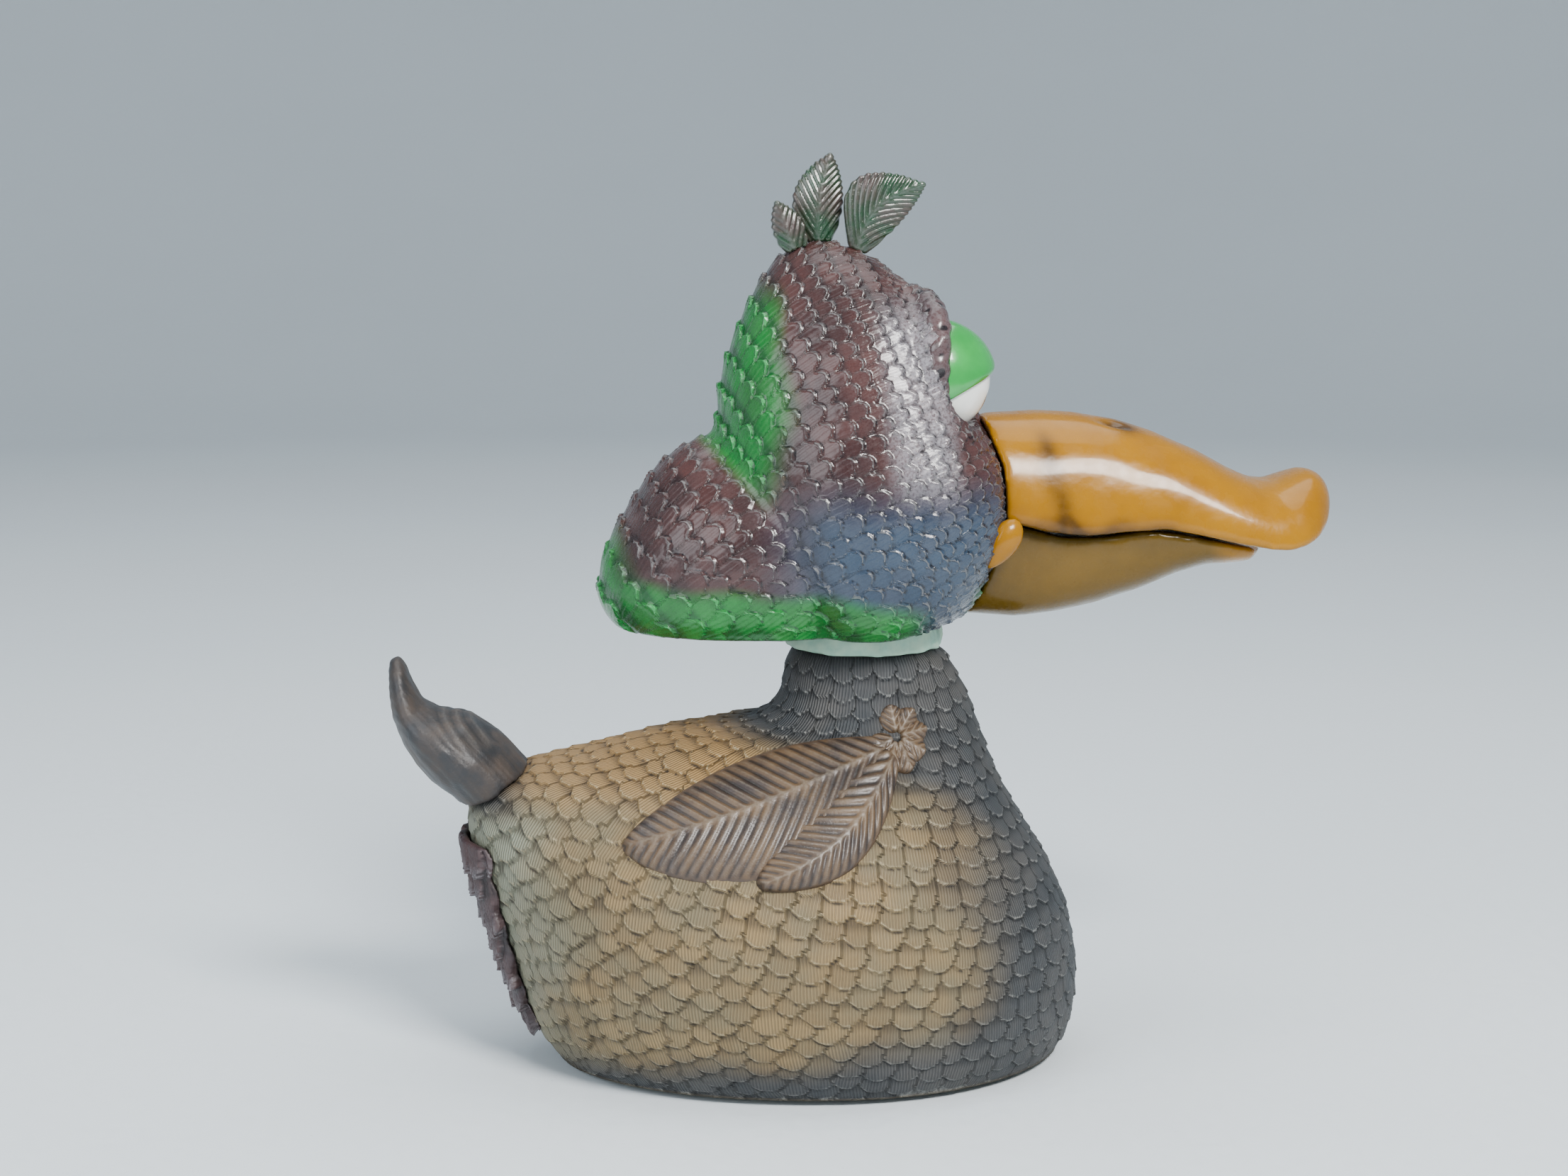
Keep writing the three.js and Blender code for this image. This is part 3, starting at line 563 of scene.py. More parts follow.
BILL_YELLOW = (0.30, 0.130, 0.0001)
BODY_PAINT = body_paint()
HEAD_PAINT = head_paint()
TAIL_PAINT = feather_paint("slate_tail", (0.016, 0.017, 0.020), (0.046, 0.033, 0.026),
                           (0.13, 0.12, 0.11))
WING_PAINT = feather_paint("bronze_wing", (0.034, 0.024, 0.022), (0.105, 0.062, 0.030), (0.17, 0.135, 0.095),
                           gloss=0.1, roughness=0.45)
SKIRT_PAINT = feather_paint("dark_rump", (0.026, 0.016, 0.020), (0.060, 0.032, 0.032), (0.20, 0.18, 0.19))
CREST_PAINT = feather_paint("bronze_green_crest", (0.006, 0.040, 0.014), (0.040, 0.022, 0.019),
                            (0.12, 0.13, 0.12), gloss=0.5, roughness=0.28)
LID_PAINT = plain_paint("gloss_green_lid", (0.008, 0.24, 0.035), (0.015, 0.32, 0.050), 0.22, gloss=0.7)
RING_PAINT = plain_paint("mint_ring", (0.25, 0.44, 0.34), (0.40, 0.56, 0.42), 0.6, size=3.0, depth=0.12)
BILL_PAINT = bill_paint("gloss_ochre_bill", BILL_YELLOW, (0.24, 0.098, 0.0001), (0.050, 0.022, 0.002))
CHIN_PAINT = bill_paint("gloss_olive_chin", (0.125, 0.066, 0.002), (0.088, 0.048, 0.002),
                        (0.050, 0.030, 0.003))
EYE_PAINT = eye_paint()
SPRING_STEEL = steel_paint("spring_steel", (0.62, 0.62, 0.64))
SCREW_STEEL = steel_paint("screw_steel", (0.56, 0.55, 0.52))
STRAP_STEEL = steel_paint("strap_steel", (0.48, 0.49, 0.50))
KEEPER = plain_paint("keeper_plastic", (0.05, 0.05, 0.055), (0.08, 0.08, 0.085), 0.45)
BOARD = plain_paint("grey_board", (0.30, 0.26, 0.20), (0.38, 0.33, 0.26), 0.85, size=2.0, depth=0.1)
FELT = plain_paint("felt", (0.030, 0.040, 0.038), (0.050, 0.062, 0.058), 0.95, size=1.0, depth=0.25)


# ------------------------------------------------------------------ the body

BODY_COLUMNS = 470
BODY_ROWS = 202
BODY_CENTRE = np.array([0.0, 0.0, 30 * MM])
NECK_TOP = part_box("body_shell")[1].z
BODY_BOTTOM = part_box("body_shell")[0].z
RING_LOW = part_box("neck_ring")[0].z
RING_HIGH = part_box("neck_ring")[1].z
RING_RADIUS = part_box("neck_ring")[1].x
SOCKET_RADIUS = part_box("spring_plug")[1].x + 0.5 * MM
SOCKET_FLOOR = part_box("spring_plug")[0].z - 0.2 * MM


def flat_rings(radii_and_levels, directions, squeeze=1.0):
    """Level rings with their points in the given directions."""
    rings = []
    for radius, z in radii_and_levels:
        ring = directions * radius
        ring[:, 1] *= squeeze
        ring[:, 2] = z
        rings.append(ring)
    return np.array(rings)


def lay_body_scales(skin):
    """Rows of scales at equal distances from the neck, tips away from it."""
    grid = skin.grid
    steps = np.linalg.norm(np.diff(grid, axis=0), axis=2)
    distance = np.concatenate([np.zeros((1, grid.shape[1])), np.cumsum(steps, axis=0)])
    scales = Scales()
    pitch = 3.9 * MM
    for k in range(int(distance[-1].max() / pitch) + 1):
        at = (k + 0.3) * pitch
        ring, inside = [], []
        for j in range(grid.shape[1]):
            ring.append([np.interp(at, distance[:, j], grid[:, j, c]) for c in range(3)])
            inside.append(at < distance[-1, j] + 0.5 * pitch)
        ring = np.array(ring + ring[:1])
        width = 4.3 * MM + 1.4 * MM * smoothstep(3, 9, k)
        count = max(12, round(path_length(ring) / width))
        shares = (np.arange(count) + 0.5 * (k % 2)) / count
        spots = along_path(ring, shares)
        for spot in spots:
            if spot[2] < BODY_BOTTOM + 0.7 * MM:
                continue
            normal, tip = skin.normal_and_tip(spot)
            spot = spot + rng.normal(size=3) * 0.22 * MM
            turn = rng.normal() * 0.07
            tip = tip + np.cross(normal, tip) * turn
            size = 1 + rng.normal() * 0.09
            scales.add(spot, tip, normal, width * 1.26 * size, pitch * 1.8 * size)
    return scales


def on_body_skin(point):
    level = BODY_BOTTOM + 0.4 * MM < point.z < RING_LOW - 0.1 * MM
    return level and point.xy.length > RING_RADIUS - 2 * MM


def make_body():
    grid = skin_grid(["body_shell"], BODY_CENTRE, on_body_skin, BODY_ROWS, BODY_COLUMNS, (5, 5))
    skin = Skin(grid)
    cover = lay_body_scales(skin).cover(grid.reshape(-1, 3), pointed=0.33, thickness=0.75 * MM, lip=0.06)
    points = grid.reshape(-1, 3)
    x, _, z = (points / MM).T
    # the relief dies away at the foot and under the ring
    rim = smoothstep(0, 2.5, z - BODY_BOTTOM / MM) * smoothstep(84.5, 82, z)
    lump = noise_at(points, 30 * MM, 1) * 0.25 * MM
    lift = (cover["height"] - 0.42 * MM) * rim + lump
    raised = (points + skin.flat_normals * lift[:, None]).reshape(grid.shape)
    directions = unit((raised[0] * (ALONG + LEFT)))
    foot = raised[-1].copy()
    foot[:, 2] = BODY_BOTTOM
    inner_foot = foot * np.array([0.8, 0.8, 1.0]) + np.array([-2 * MM, 0, 1.0 * MM])
    top = flat_rings(
        [(SOCKET_RADIUS, SOCKET_FLOOR), (SOCKET_RADIUS, NECK_TOP - 0.4 * MM),
         (SOCKET_RADIUS + 0.4 * MM, NECK_TOP), (RING_RADIUS - 3.2 * MM, NECK_TOP),
         (RING_RADIUS - 2.8 * MM, NECK_TOP - 0.5 * MM), (RING_RADIUS - 2.8 * MM, RING_LOW - 0.2 * MM)],
        directions)
    whole = np.concatenate([top, raised, [foot], [inner_foot]])
    noise = noise_at(points, 26 * MM, 2)
    # x and z are in millimetres here, and so are all the paint's edges
    # the dark paint ends on a line that runs down the breast and back over the shoulder
    dark_from = np.interp(z, [10, 30, 50, 58, 64, 68, 72], [17, 20, 16, 8, -6, -24, -44])
    breast = smoothstep(-13, 11, x - dark_from + 4.5 * noise)
    hem = smoothstep(15, 4, z + 2.5 * noise - 0.16 * (x + 25))
    tail_root = smoothstep(-66, -76, x + 2 * noise) * smoothstep(50, 56, z)
    slate = 1 - (1 - breast) * (1 - hem) * (1 - tail_root)
    masks = {
        "slate": slate,
        "warm": smoothstep(54, 62, z) * smoothstep(-18, -30, x) * 0.75,
        "pale": smoothstep(-58, -72, x + 3 * noise) * smoothstep(58, 50, z) * 0.8,
        **cover,
    }
    before, after = len(top) * BODY_COLUMNS, 2 * BODY_COLUMNS + 2
    masks = {key: np.pad(values, (before, after), constant_values=0.5) for key, values in masks.items()}
    faces = closed_faces(len(whole), BODY_COLUMNS)
    piece = make_piece("feathered_body", with_ends(whole), faces, BODY_PAINT, masks)
    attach(piece, "figurine_body")
    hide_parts("body_shell")
    return skin


body_skin = make_body()


# ------------------------------------------------------------------ the head

HEAD_COLUMNS = 460
HEAD_ROWS = 206
HEAD_CENTRE = np.array([-6 * MM, 0.0, 114 * MM])
HEAD_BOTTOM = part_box("head_shell")[0].z
ROW_AXIS = np.array([90 * MM, 0.0, -60 * MM])  # the planes of the rows all pass through this line
EYES = [np.array(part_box(f"eyeball_{side}")) for side in ("left", "right")]


def row_plane(angle):
    """A row's plane: a point on it inside the head, its outward and its forward direction."""
    out = np.array([math.cos(angle), 0.0, math.sin(angle)])
    forward = np.array([out[2], 0.0, -out[0]])
    inside = ROW_AXIS + out * np.dot(HEAD_CENTRE - ROW_AXIS, out)
    return inside, out, forward


def eye_gap(points):
    """How far points are from the nearer eye, in sizes of its box. Half a size is on the eyeball."""
    gaps = [np.linalg.norm((points - box.mean(axis=0)) / (box[1] - box[0]), axis=-1) for box in EYES]
    return np.min(gaps, axis=0)


def fill_bare_face(scales, skin):
    """More small scales where the rows run too steeply to cover the face."""
    taken = kdtree.KDTree(len(scales.rows) + 4000)
    for i, row in enumerate(scales.rows):
        taken.insert(row[0], i)
    taken.balance()
    points = skin.grid.reshape(-1, 3)
    added = []
    for index in rng.permutation(len(points))[:30000]:
        spot, normal = points[index], skin.flat_normals[index]
        if spot[0] < 2 * MM or spot[2] < HEAD_BOTTOM + 0.8 * MM:
            continue
        if taken.find(spot)[2] < 2.1 * MM:
            continue
        if added and np.min(np.linalg.norm(np.array(added) - spot, axis=1)) < 2.1 * MM:
            continue
        added.append(spot)
        tip = ALONG * 0.8 + UP * 0.35 + LEFT * 0.25 * np.sign(spot[1])
        scales.add(spot, tip, normal, 2.9 * MM, 4.1 * MM)


def lay_head_scales(skin):
    """Rows that run across the head, their tips up and forward, finer towards the face."""
    scales = Scales()
    position = 0.0
    k = 0
    reach = np.linalg.norm(HEAD_CENTRE - ROW_AXIS)
    start = math.atan2(88 * MM - ROW_AXIS[2], -54 * MM - ROW_AXIS[0])
    while True:
        angle = start - position / reach
        inside, out, forward = row_plane(angle)
        travelled = position / MM
        pitch = (4.9 - 1.1 * smoothstep(10, 34, travelled) - 1.2 * smoothstep(50, 78, travelled)) * MM
        ring = ring_around(skin.tree, inside, out, LEFT, rays=240)
        if travelled > 125:
            fill_bare_face(scales, skin)
            return scales
        if len(ring) > 60 and path_length(ring) > 12 * MM:
            width = pitch * 1.06
            count = max(6, round(path_length(ring) / width))
            shares = (np.arange(count) + 0.5 * (k % 2)) / count
            for spot in along_path(ring, shares):
                if spot[2] < HEAD_BOTTOM + 0.6 * MM:
                    continue
                normal, _ = skin.normal_and_tip(spot)
                spot = spot + rng.normal(size=3) * 0.05 * pitch
                tip = forward + np.cross(normal, forward) * rng.normal() * 0.08
                size = 1 + rng.normal() * 0.05
                scales.add(spot, tip, normal, width * 1.12 * size, pitch * 1.7 * size)
        position += pitch
        k += 1


HOLE_CENTRE = np.array([-1.25 * MM, 0.0, 0.0])
HOLE_RADIUS = 20.7 * MM
HOLE_SQUEEZE = 0.9


def over_neck_hole(point):
    low = point.z < HEAD_BOTTOM + 5 * MM
    return low and math.hypot(point.x - HOLE_CENTRE[0], point.y / HOLE_SQUEEZE) < HOLE_RADIUS + 0.8 * MM


def make_head():
    grid = skin_grid(
        ["head_shell", "eyeball_left", "eyeball_right", "eyelid_left", "eyelid_right"], HEAD_CENTRE,
        lambda hit: hit.z > HEAD_BOTTOM + 0.35 * MM and not over_neck_hole(hit),
        HEAD_ROWS, HEAD_COLUMNS, (3.2, 3.2),
    )
    # behind the eyes the skin is drawn in: the eyes, lids and brows stand there
    smooth = blurred(blurred(grid, 5, 0, wrap=False), 5, 1, wrap=True)
    near_eye = smoothstep(0.85, 0.7, eye_gap(grid))[..., None]
    grid = grid * (1 - near_eye) + smooth * near_eye
    grid = grid - ALONG * 5 * MM * smoothstep(0.66, 0.54, eye_gap(grid))[..., None]
    skin = Skin(grid)
    points = grid.reshape(-1, 3)
    cover = lay_head_scales(skin).cover(points, pointed=0.42, thickness=0.72 * MM, lip=0.35)
    x, _, z = (points / MM).T
    around_eye = smoothstep(0.5, 0.62, eye_gap(points))
    rim = smoothstep(0, 1.6, z - HEAD_BOTTOM / MM)
    lump = noise_at(points, 22 * MM, 3) * 0.3 * MM
    lift = (cover["height"] - 0.42 * MM) * rim * (0.25 + 0.75 * around_eye) + lump * rim
    raised = (points + skin.flat_normals * lift[:, None]).reshape(grid.shape)
    lip_ring = raised[-1].copy()
    lip_ring[:, 2] -= 0.3 * MM
    lip_ring = HOLE_CENTRE + (lip_ring - HOLE_CENTRE) * np.array([0.985, 0.985, 1])
    directions = unit((raised[-1] - HOLE_CENTRE) * (ALONG + LEFT))
    hole = flat_rings(
        [(HOLE_RADIUS, 0), (HOLE_RADIUS, 0), (HOLE_RADIUS, 110 * MM),
         (19 * MM, 117 * MM), (8 * MM, 118 * MM)],
        directions, squeeze=HOLE_SQUEEZE) + HOLE_CENTRE
    hole[0, :, 2] = lip_ring[:, 2]
    hole[1, :, 2] = lip_ring[:, 2] + 0.6 * MM
    whole = np.concatenate([raised, [lip_ring], hole])
    # where each colour lies, by x and z in millimetres
    noise = noise_at(points, 20 * MM, 4)
    # the green's front edge leans forward under the widest part of the skull and back above it
    lean = np.where(z < 130, -0.30, 0.12) * (z - 130)
    skull_green = smoothstep(-13.5, -20.5, x + 2 * noise + lean) * smoothstep(158, 150, z)
    skull_green = skull_green * smoothstep(-3.5, 2.5, 1.05 * (x + 30) + (z - 124))
    nape_green = smoothstep(-42, -49, x + 2 * noise + 0.35 * (z - 96)) * smoothstep(112, 104, z)
    rim_green = smoothstep(98.5, 94.5, z + 1.5 * noise + 0.10 * (x + 20)) * smoothstep(12, 4, x)
    chin_green = smoothstep(18, 22, x) * smoothstep(99, 95, z)
    green = np.clip(1 - (1 - skull_green) * (1 - nape_green) * (1 - rim_green) * (1 - chin_green), 0, 1)
    blue = smoothstep(121, 109, z + 2 * noise) * smoothstep(-26, -8, x) * 0.9
    # a painted highlight: a pale band down the front of the head
    painted_highlight = smoothstep(9, 3, np.abs(x - 8 + 0.05 * (z - 130)))
    painted_highlight = painted_highlight * smoothstep(112, 122, z) * smoothstep(156, 146, z)
    masks = {
        "green": green,
        "blue": blue,
        "painted_highlight": painted_highlight * 0.45,
        **cover,
    }
    after = (1 + len(hole)) * HEAD_COLUMNS + 2
    masks = {key: np.pad(values, (0, after), constant_values=0.5) for key, values in masks.items()}
    faces = closed_faces(len(whole), HEAD_COLUMNS)
    piece = make_piece("scaled_head", with_ends(whole), faces, HEAD_PAINT, masks)
    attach(piece, "head")
    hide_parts("head_shell")


make_head()


def make_brow(side, sign):
    """The lumpy ridge over and behind an eye."""
    path = np.array([[4.5, 3.5, 152.6], [10.4, 8, 153.2], [12.2, 14.4, 149.2], [11.8, 18.2, 141.5],
                     [12.4, 17.8, 133.0]]) * MM
    path = blurred(along_path(path, np.linspace(0, 1, 120)), 9, 0, wrap=False)
    forward = unit(np.gradient(path, axis=0))
    across = unit(np.cross(forward, np.broadcast_to(ALONG, path.shape)))
    up = np.cross(across, forward)
    share = np.linspace(0, 1, len(path))
    radius = (1.1 + 1.5 * np.sin(math.pi * (0.12 + 0.8 * share)) ** 0.8) * MM
    around = np.linspace(0, 2 * math.pi, 48, endpoint=False)
    ring = across[:, None] * np.cos(around)[None, :, None] + up[:, None] * np.sin(around)[None, :, None]
    smooth_tube = (path[:, None] + ring * radius[:, None, None]).reshape(-1, 3)
    lumps = np.clip(noise_at(smooth_tube, 2.6 * MM, 21), -1, 1).reshape(len(path), len(around))
    grid = path[:, None] + ring * (radius[:, None] * (1 + 0.10 * lumps))[..., None]
    grid = grid * np.array([1, sign, 1])
    size = grid.shape[0] * grid.shape[1]
    lumps = np.concatenate([lumps.ravel(), [0, 0]])
    # the brow takes a little of the painted highlight all over, and painted shade in the hollows between its
    # lumps
    fixed = {"green": 0.0, "blue": 0.0, "painted_highlight": 0.1, "rise": 0.8, "random": 0.5, "across": 0.0}
    masks = {key: np.full(size + 2, value) for key, value in fixed.items()}
    masks["painted_shade"] = smoothstep(-0.2, -0.8, lumps)
    masks["inside"] = 1.2 - 0.7 * smoothstep(0.5, 0.9, lumps)
    piece = make_piece(f"brow_{side}", with_ends(grid), closed_faces(*grid.shape[:2]), HEAD_PAINT, masks)
    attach(piece, "head")


for side, sign in (("left", 1), ("right", -1)):
    make_brow(side, sign)


# ------------------------------------------------------------------ tail, rump, wings and crest

def carve(piece, lift, masks):
    """Moves each point of a piece out along its normal, and stores its masks."""
    mesh = piece.data
    place(mesh, places_of(mesh) + normals_of(mesh) * lift[:, None])
    paint(mesh, masks)


def make_tail():
    piece = soft_copy("carved_tail", "tail", TAIL_PAINT, voxel=0.42, passes=16)
    points = places_of(piece.data)
    x, y, z = (points / MM).T
    across, _, _, share = feather_masks(points, (-66 * MM, 50 * MM), (-94 * MM, 82 * MM), 1.5 * MM)
    fan = np.sin(y * 2 * math.pi / (3.2 + 1.2 * share) + 0.8 * noise_at(points, 18 * MM, 5))
    fine = np.sin((across / MM + 0.25 * np.abs(y)) * 2 * math.pi / 1.15 + 1.2 * noise_at(points, 12 * MM, 6))
    bump_zone = smoothstep(-88, -84, x) * smoothstep(-68, -73, x) * smoothstep(64, 68, z)
    slanted = np.sin((x + 0.9 * z) * 2 * math.pi / 2.2)
    wave = (1 - bump_zone) * (0.35 * fine + 0.25 * fan) + bump_zone * 0.9 * slanted
    lift = (0.25 + 0.11 * wave + 0.2 * noise_at(points, 8 * MM, 7)) * MM
    # painted shade in the cuts and a painted highlight on the ridges of the carving
    carve(piece, lift, {"cut": smoothstep(-0.2, -0.8, wave) * 0.6,
                        "ridge": smoothstep(0.4, 0.95, wave) * 0.35})
    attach(piece, "figurine_body")
    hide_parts("tail")


def make_skirt():
    """Rows of small dark feathers under the tail."""
    piece = soft_copy("carved_rump", "rump_skirt", SKIRT_PAINT, voxel=0.4, passes=6)
    mesh = piece.data
    tree = BVHTree.FromPolygons([v.co[:] for v in mesh.vertices], [p.vertices[:] for p in mesh.polygons])
    low, high = map(np.array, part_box("rump_skirt"))
    tufts = Scales()
    pitch, width = 5.6 * MM, 6.4 * MM
    for k in range(int((high[2] - low[2]) / pitch) + 1):
        z = high[2] - (k + 0.3) * pitch
        for i in range(-3, 4):
            y = (i + 0.5 * (k % 2)) * width * 0.86
            hit, normal, _, _ = tree.ray_cast(Vector((low[0] - 0.05, y, z)), Vector((1, 0, 0)))
            if hit is None:
                continue
            tip = -UP + LEFT * (0.25 * y / high[1] + rng.normal() * 0.12)
            size = 1 + rng.normal() * 0.1
            tufts.add(np.array(hit), tip, np.array(normal), width * size, pitch * 1.9 * size)
    points = places_of(mesh)
    cover = tufts.cover(points, pointed=0.42, thickness=2.3 * MM, lip=0.08, neighbours=7)
    outward = smoothstep(-0.1, 0.4, -normals_of(mesh)[:, 0])
    hair = np.sin(cover["across"] * 2 * math.pi / 0.85)
    lift = outward * (cover["height"] - 0.9 * MM + (0.13 * hair + 0.25 * noise_at(points, 5 * MM, 9)) * MM)
    # painted shade beyond each tuft's tip and at its root, and a painted highlight along the hairs at its tip
    carve(piece, lift, {
        "cut": np.clip(cover["painted_shade"] + smoothstep(0.45, 0.2, cover["rise"]) * 0.7, 0, 1),
        "ridge": smoothstep(0.6, 0.95, cover["rise"]) * smoothstep(-0.4, 0.8, hair),
    })
    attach(piece, "figurine_body")
    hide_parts("rump_skirt")


# Each feather of a wing: its root and tip as [x, z], how far it reaches above and below its quill,
# the bow of the quill, how high it stands and the pitch of its barbs, all in millimetres.
WING_FEATHERS = [
    {"root": (3, 67), "tip": (-49.8, 50.6), "above": 7.5, "below": 11.5,
     "curl": -0.9, "stand": 1.7, "pitch": 2.5},
    {"root": (3.5, 66), "tip": (-24.8, 44.6), "above": 7.0, "below": 5.0,
     "curl": -3.6, "stand": 2.2, "pitch": 2.2},
]
SHOULDER = (4.0, 68.5)
SHOULDER_LEAVES = [205, 248, 290, 330, 10, 55, 100]  # the ways they point, in degrees


def wing_leaf(tree, sign, leaf):
    """A carved leaf that lies on the body and dies away into it at its edges."""
    root, tip = np.array(leaf["root"]) * MM, np.array(leaf["tip"]) * MM
    length = np.linalg.norm(tip - root)
    forward = (tip - root) / length
    upward = np.array([-forward[1], forward[0]])
    if upward[1] < 0:
        upward = -upward
    rows = max(30, int(length / (0.27 * MM)))
    columns = max(24, int((leaf["above"] + leaf["below"]) / 0.27))
    u, v = np.meshgrid(np.linspace(0, 1, rows), np.linspace(-1, 1, columns), indexing="ij")
    outline = np.maximum(np.sin(math.pi * (0.04 + 0.96 * u ** 1.08)), 0) ** 0.62
    reach = np.where(v > 0, leaf["above"], leaf["below"]) * MM * outline
    bow = leaf["curl"] * MM * np.sin(math.pi * u)
    flat = root + u[..., None] * (tip - root) + (bow + v * reach)[..., None] * upward
    spots, normals = [], []
    for x, z in flat.reshape(-1, 2):
        hit, normal, _, _ = tree.ray_cast(Vector((x, sign * 0.2, z)), Vector((0, -sign, 0)))
        spots.append(hit[:])
        normals.append(normal[:])
    spots = np.array(spots).reshape(rows, columns, 3)
    normals = np.array(normals).reshape(rows, columns, 3)
    normals *= np.sign(normals[..., 1:2] * sign)
    normals = unit(blurred(blurred(normals, 4, 0, wrap=False), 4, 1, wrap=False))
    across = np.abs(v * reach)
    barbs = np.sin((u * length - across * 1.15) * 2 * math.pi / (leaf["pitch"] * MM))
    quill = np.exp(-(v * reach / (0.45 * MM)) ** 2) * smoothstep(1.0, 0.9, u)
    edge = (1 - np.abs(v) ** 3) * smoothstep(0, 0.06, u) * smoothstep(1.0, 0.95, u)
    carved = 0.8 * barbs * (1 - quill) * smoothstep(1.0, 0.85, np.abs(v)) + 0.9 * quill
    stand = (leaf["stand"] * edge ** 0.6 + 0.26 * carved * edge ** 0.4) * MM
    top = spots + normals * (stand - 0.1 * MM)[..., None]
    bottom = spots - normals * 0.9 * MM
    # painted shade in the cuts between the barbs and a painted highlight on the barbs and the quill
    masks = {"cut": smoothstep(0.1, -0.8, carved) * 0.8, "ridge": smoothstep(0.4, 1.0, carved) * 0.55}
    return top, bottom, masks


def sheet_faces(rows, columns):
    """Faces of a closed sheet: a top grid, a bottom grid and a strip around their edges."""
    size = rows * columns
    upper = grid_faces(rows, columns, wrap=False)
    border = list(range(columns))
    border += [r * columns + columns - 1 for r in range(1, rows)]
    border += [(rows - 1) * columns + c for c in range(columns - 2, -1, -1)]
    border += [r * columns for r in range(rows - 2, 0, -1)]
    sides = [[b, a, a + size, b + size] for a, b in zip(border, border[1:] + border[:1])]
    return upper.tolist() + (upper[:, ::-1] + size).tolist() + sides


def make_wing(side, sign, tree):
    leaves = list(WING_FEATHERS)
    for degrees in SHOULDER_LEAVES:
        way = np.array([math.cos(math.radians(degrees)), math.sin(math.radians(degrees))])
        leaves.append({"root": tuple(SHOULDER + way * 0.8), "tip": tuple(SHOULDER + way * 6.2), "above": 2.6,
                       "below": 2.6, "curl": 0.0, "stand": 1.3, "pitch": 1.5})
    vertices, faces, cuts, ridges = [], [], [], []
    for leaf in leaves:
        top, bottom, masks = wing_leaf(tree, sign, leaf)
        first = sum(len(v) for v in vertices)
        vertices += [top.reshape(-1, 3), bottom.reshape(-1, 3)]
        faces += [[first + i for i in face] for face in sheet_faces(*top.shape[:2])]
        cuts += [masks["cut"].ravel()] * 2
        ridges += [masks["ridge"].ravel()] * 2
    piece = make_piece(f"carved_wing_{side}", np.concatenate(vertices), faces, WING_PAINT,
                       {"cut": np.concatenate(cuts), "ridge": np.concatenate(ridges)})
    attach(piece, "figurine_body")
    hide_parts(f"wing_{side}")


# Each crest feather: its root and tip as [x, z], the bow of its quill and its half width, in millimetres.
CREST = {
    "rear": {"root": (-12.6, 159), "tip": (-17.8, 171.8), "curl": 0.3, "reach": 2.9},
    "middle": {"root": (-8.6, 159), "tip": (-6.6, 181), "curl": 1.6, "reach": 4.7},
    "front": {"root": (-2.6, 159), "tip": (11.4, 175), "curl": 4.2, "reach": 5.9},
}


def make_crest(name, lean):
    node = f"crest_feather_{name}"
    piece = soft_copy(f"carved_{node}", node, CREST_PAINT, voxel=0.25, passes=8)
    points = places_of(piece.data)
    feather = {key: np.array(value) * MM for key, value in CREST[name].items()}
    across, barbs, quill, share = feather_masks(
        points, feather["root"], feather["tip"], 1.8 * MM, slant=1.5, curl=feather["curl"])
    carved = 0.8 * barbs * (1 - quill) + 1.1 * quill
    height = smoothstep(0.12, 0.3, share)
    middle = points[:, 1].mean()
    reach = feather["reach"] * np.maximum(np.sin(math.pi * share ** 1.15), 0.3) ** 0.8
    thin = (1 - 0.45 * smoothstep(0.5, 1.0, share)) * (1 - 0.6 * np.clip(np.abs(across) / reach, 0, 1) ** 2)
    points[:, 1] = middle + (points[:, 1] - middle) * thin + lean * MM * share ** 2
    place(piece.data, points)
    # painted shade in the cuts between the barbs and a painted highlight on the barbs and the quill
    carve(piece, (0.25 + 0.16 * carved * height) * MM,
          {"cut": smoothstep(0.0, -0.8, carved) * 0.7, "ridge": smoothstep(0.35, 1.0, carved) * 0.3})
    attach(piece, "head")
    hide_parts(node)


make_tail()
make_skirt()
for side, sign in (("left", 1), ("right", -1)):
    make_wing(side, sign, body_skin.tree)
for name, lean in (("rear", -0.8), ("middle", 0.8), ("front", -0.8)):
    make_crest(name, lean)


# ------------------------------------------------------------------ eyes

EYE_REACH = 11.2 * MM
LID_GAP = 0.3 * MM
LID_THICKNESS = 1.0 * MM
LID_DROP = 5.0 * MM  # how far under the middle of the eye the lid's edge passes
LID_SLOPE = 0.537  # the edge rises towards the front
LID_EDGE = 0.16  # the angle over which the edge is rounded


def eye_shape(side):
    """The middle of an eyeball, its radii and where its flat back is."""
    low, high = map(np.array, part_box(f"eyeball_{side}"))
    middle = (low + high) / 2
    middle[0] = high[0] - EYE_REACH
    return middle, np.array([EYE_REACH, (high[1] - low[1]) / 2, (high[2] - low[2]) / 2]), low[0]


def dome(axis, angles, columns):
    """Unit vectors around an axis: one ring for each angle away from it."""
    first = unit(np.cross(axis, UP))
    second = np.cross(axis, first)
    around = np.linspace(0, 2 * math.pi, columns, endpoint=False)
    side = first * np.cos(around)[:, None] + second * np.sin(around)[:, None]
    angles = np.asarray(angles)[:, None, None]
    return axis * np.cos(angles) + side[None] * np.sin(angles)


def make_eyeball(side, sign):
    """A ball with a flat back and a dark pupil that looks ahead from under the lid."""
    middle, radii, back = eye_shape(side)
    ball = dome(ALONG, np.linspace(0.02, math.pi - 0.02, 60), 96)
    grid = middle + ball * radii
    grid[..., 0] = np.maximum(grid[..., 0], back)
    looking = unit(np.array([1.0, sign * 0.08, -0.40]))
    pupil = smoothstep(0.27, 0.24, np.arccos(np.clip(ball.reshape(-1, 3) @ looking, -1, 1)))
    piece = make_piece(f"eye_{side}", with_ends(grid), closed_faces(60, 96), EYE_PAINT,
                       {"pupil": np.concatenate([pupil, [0.0, 0.0]])})
    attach(piece, "head")
    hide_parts(f"eyeball_{side}")


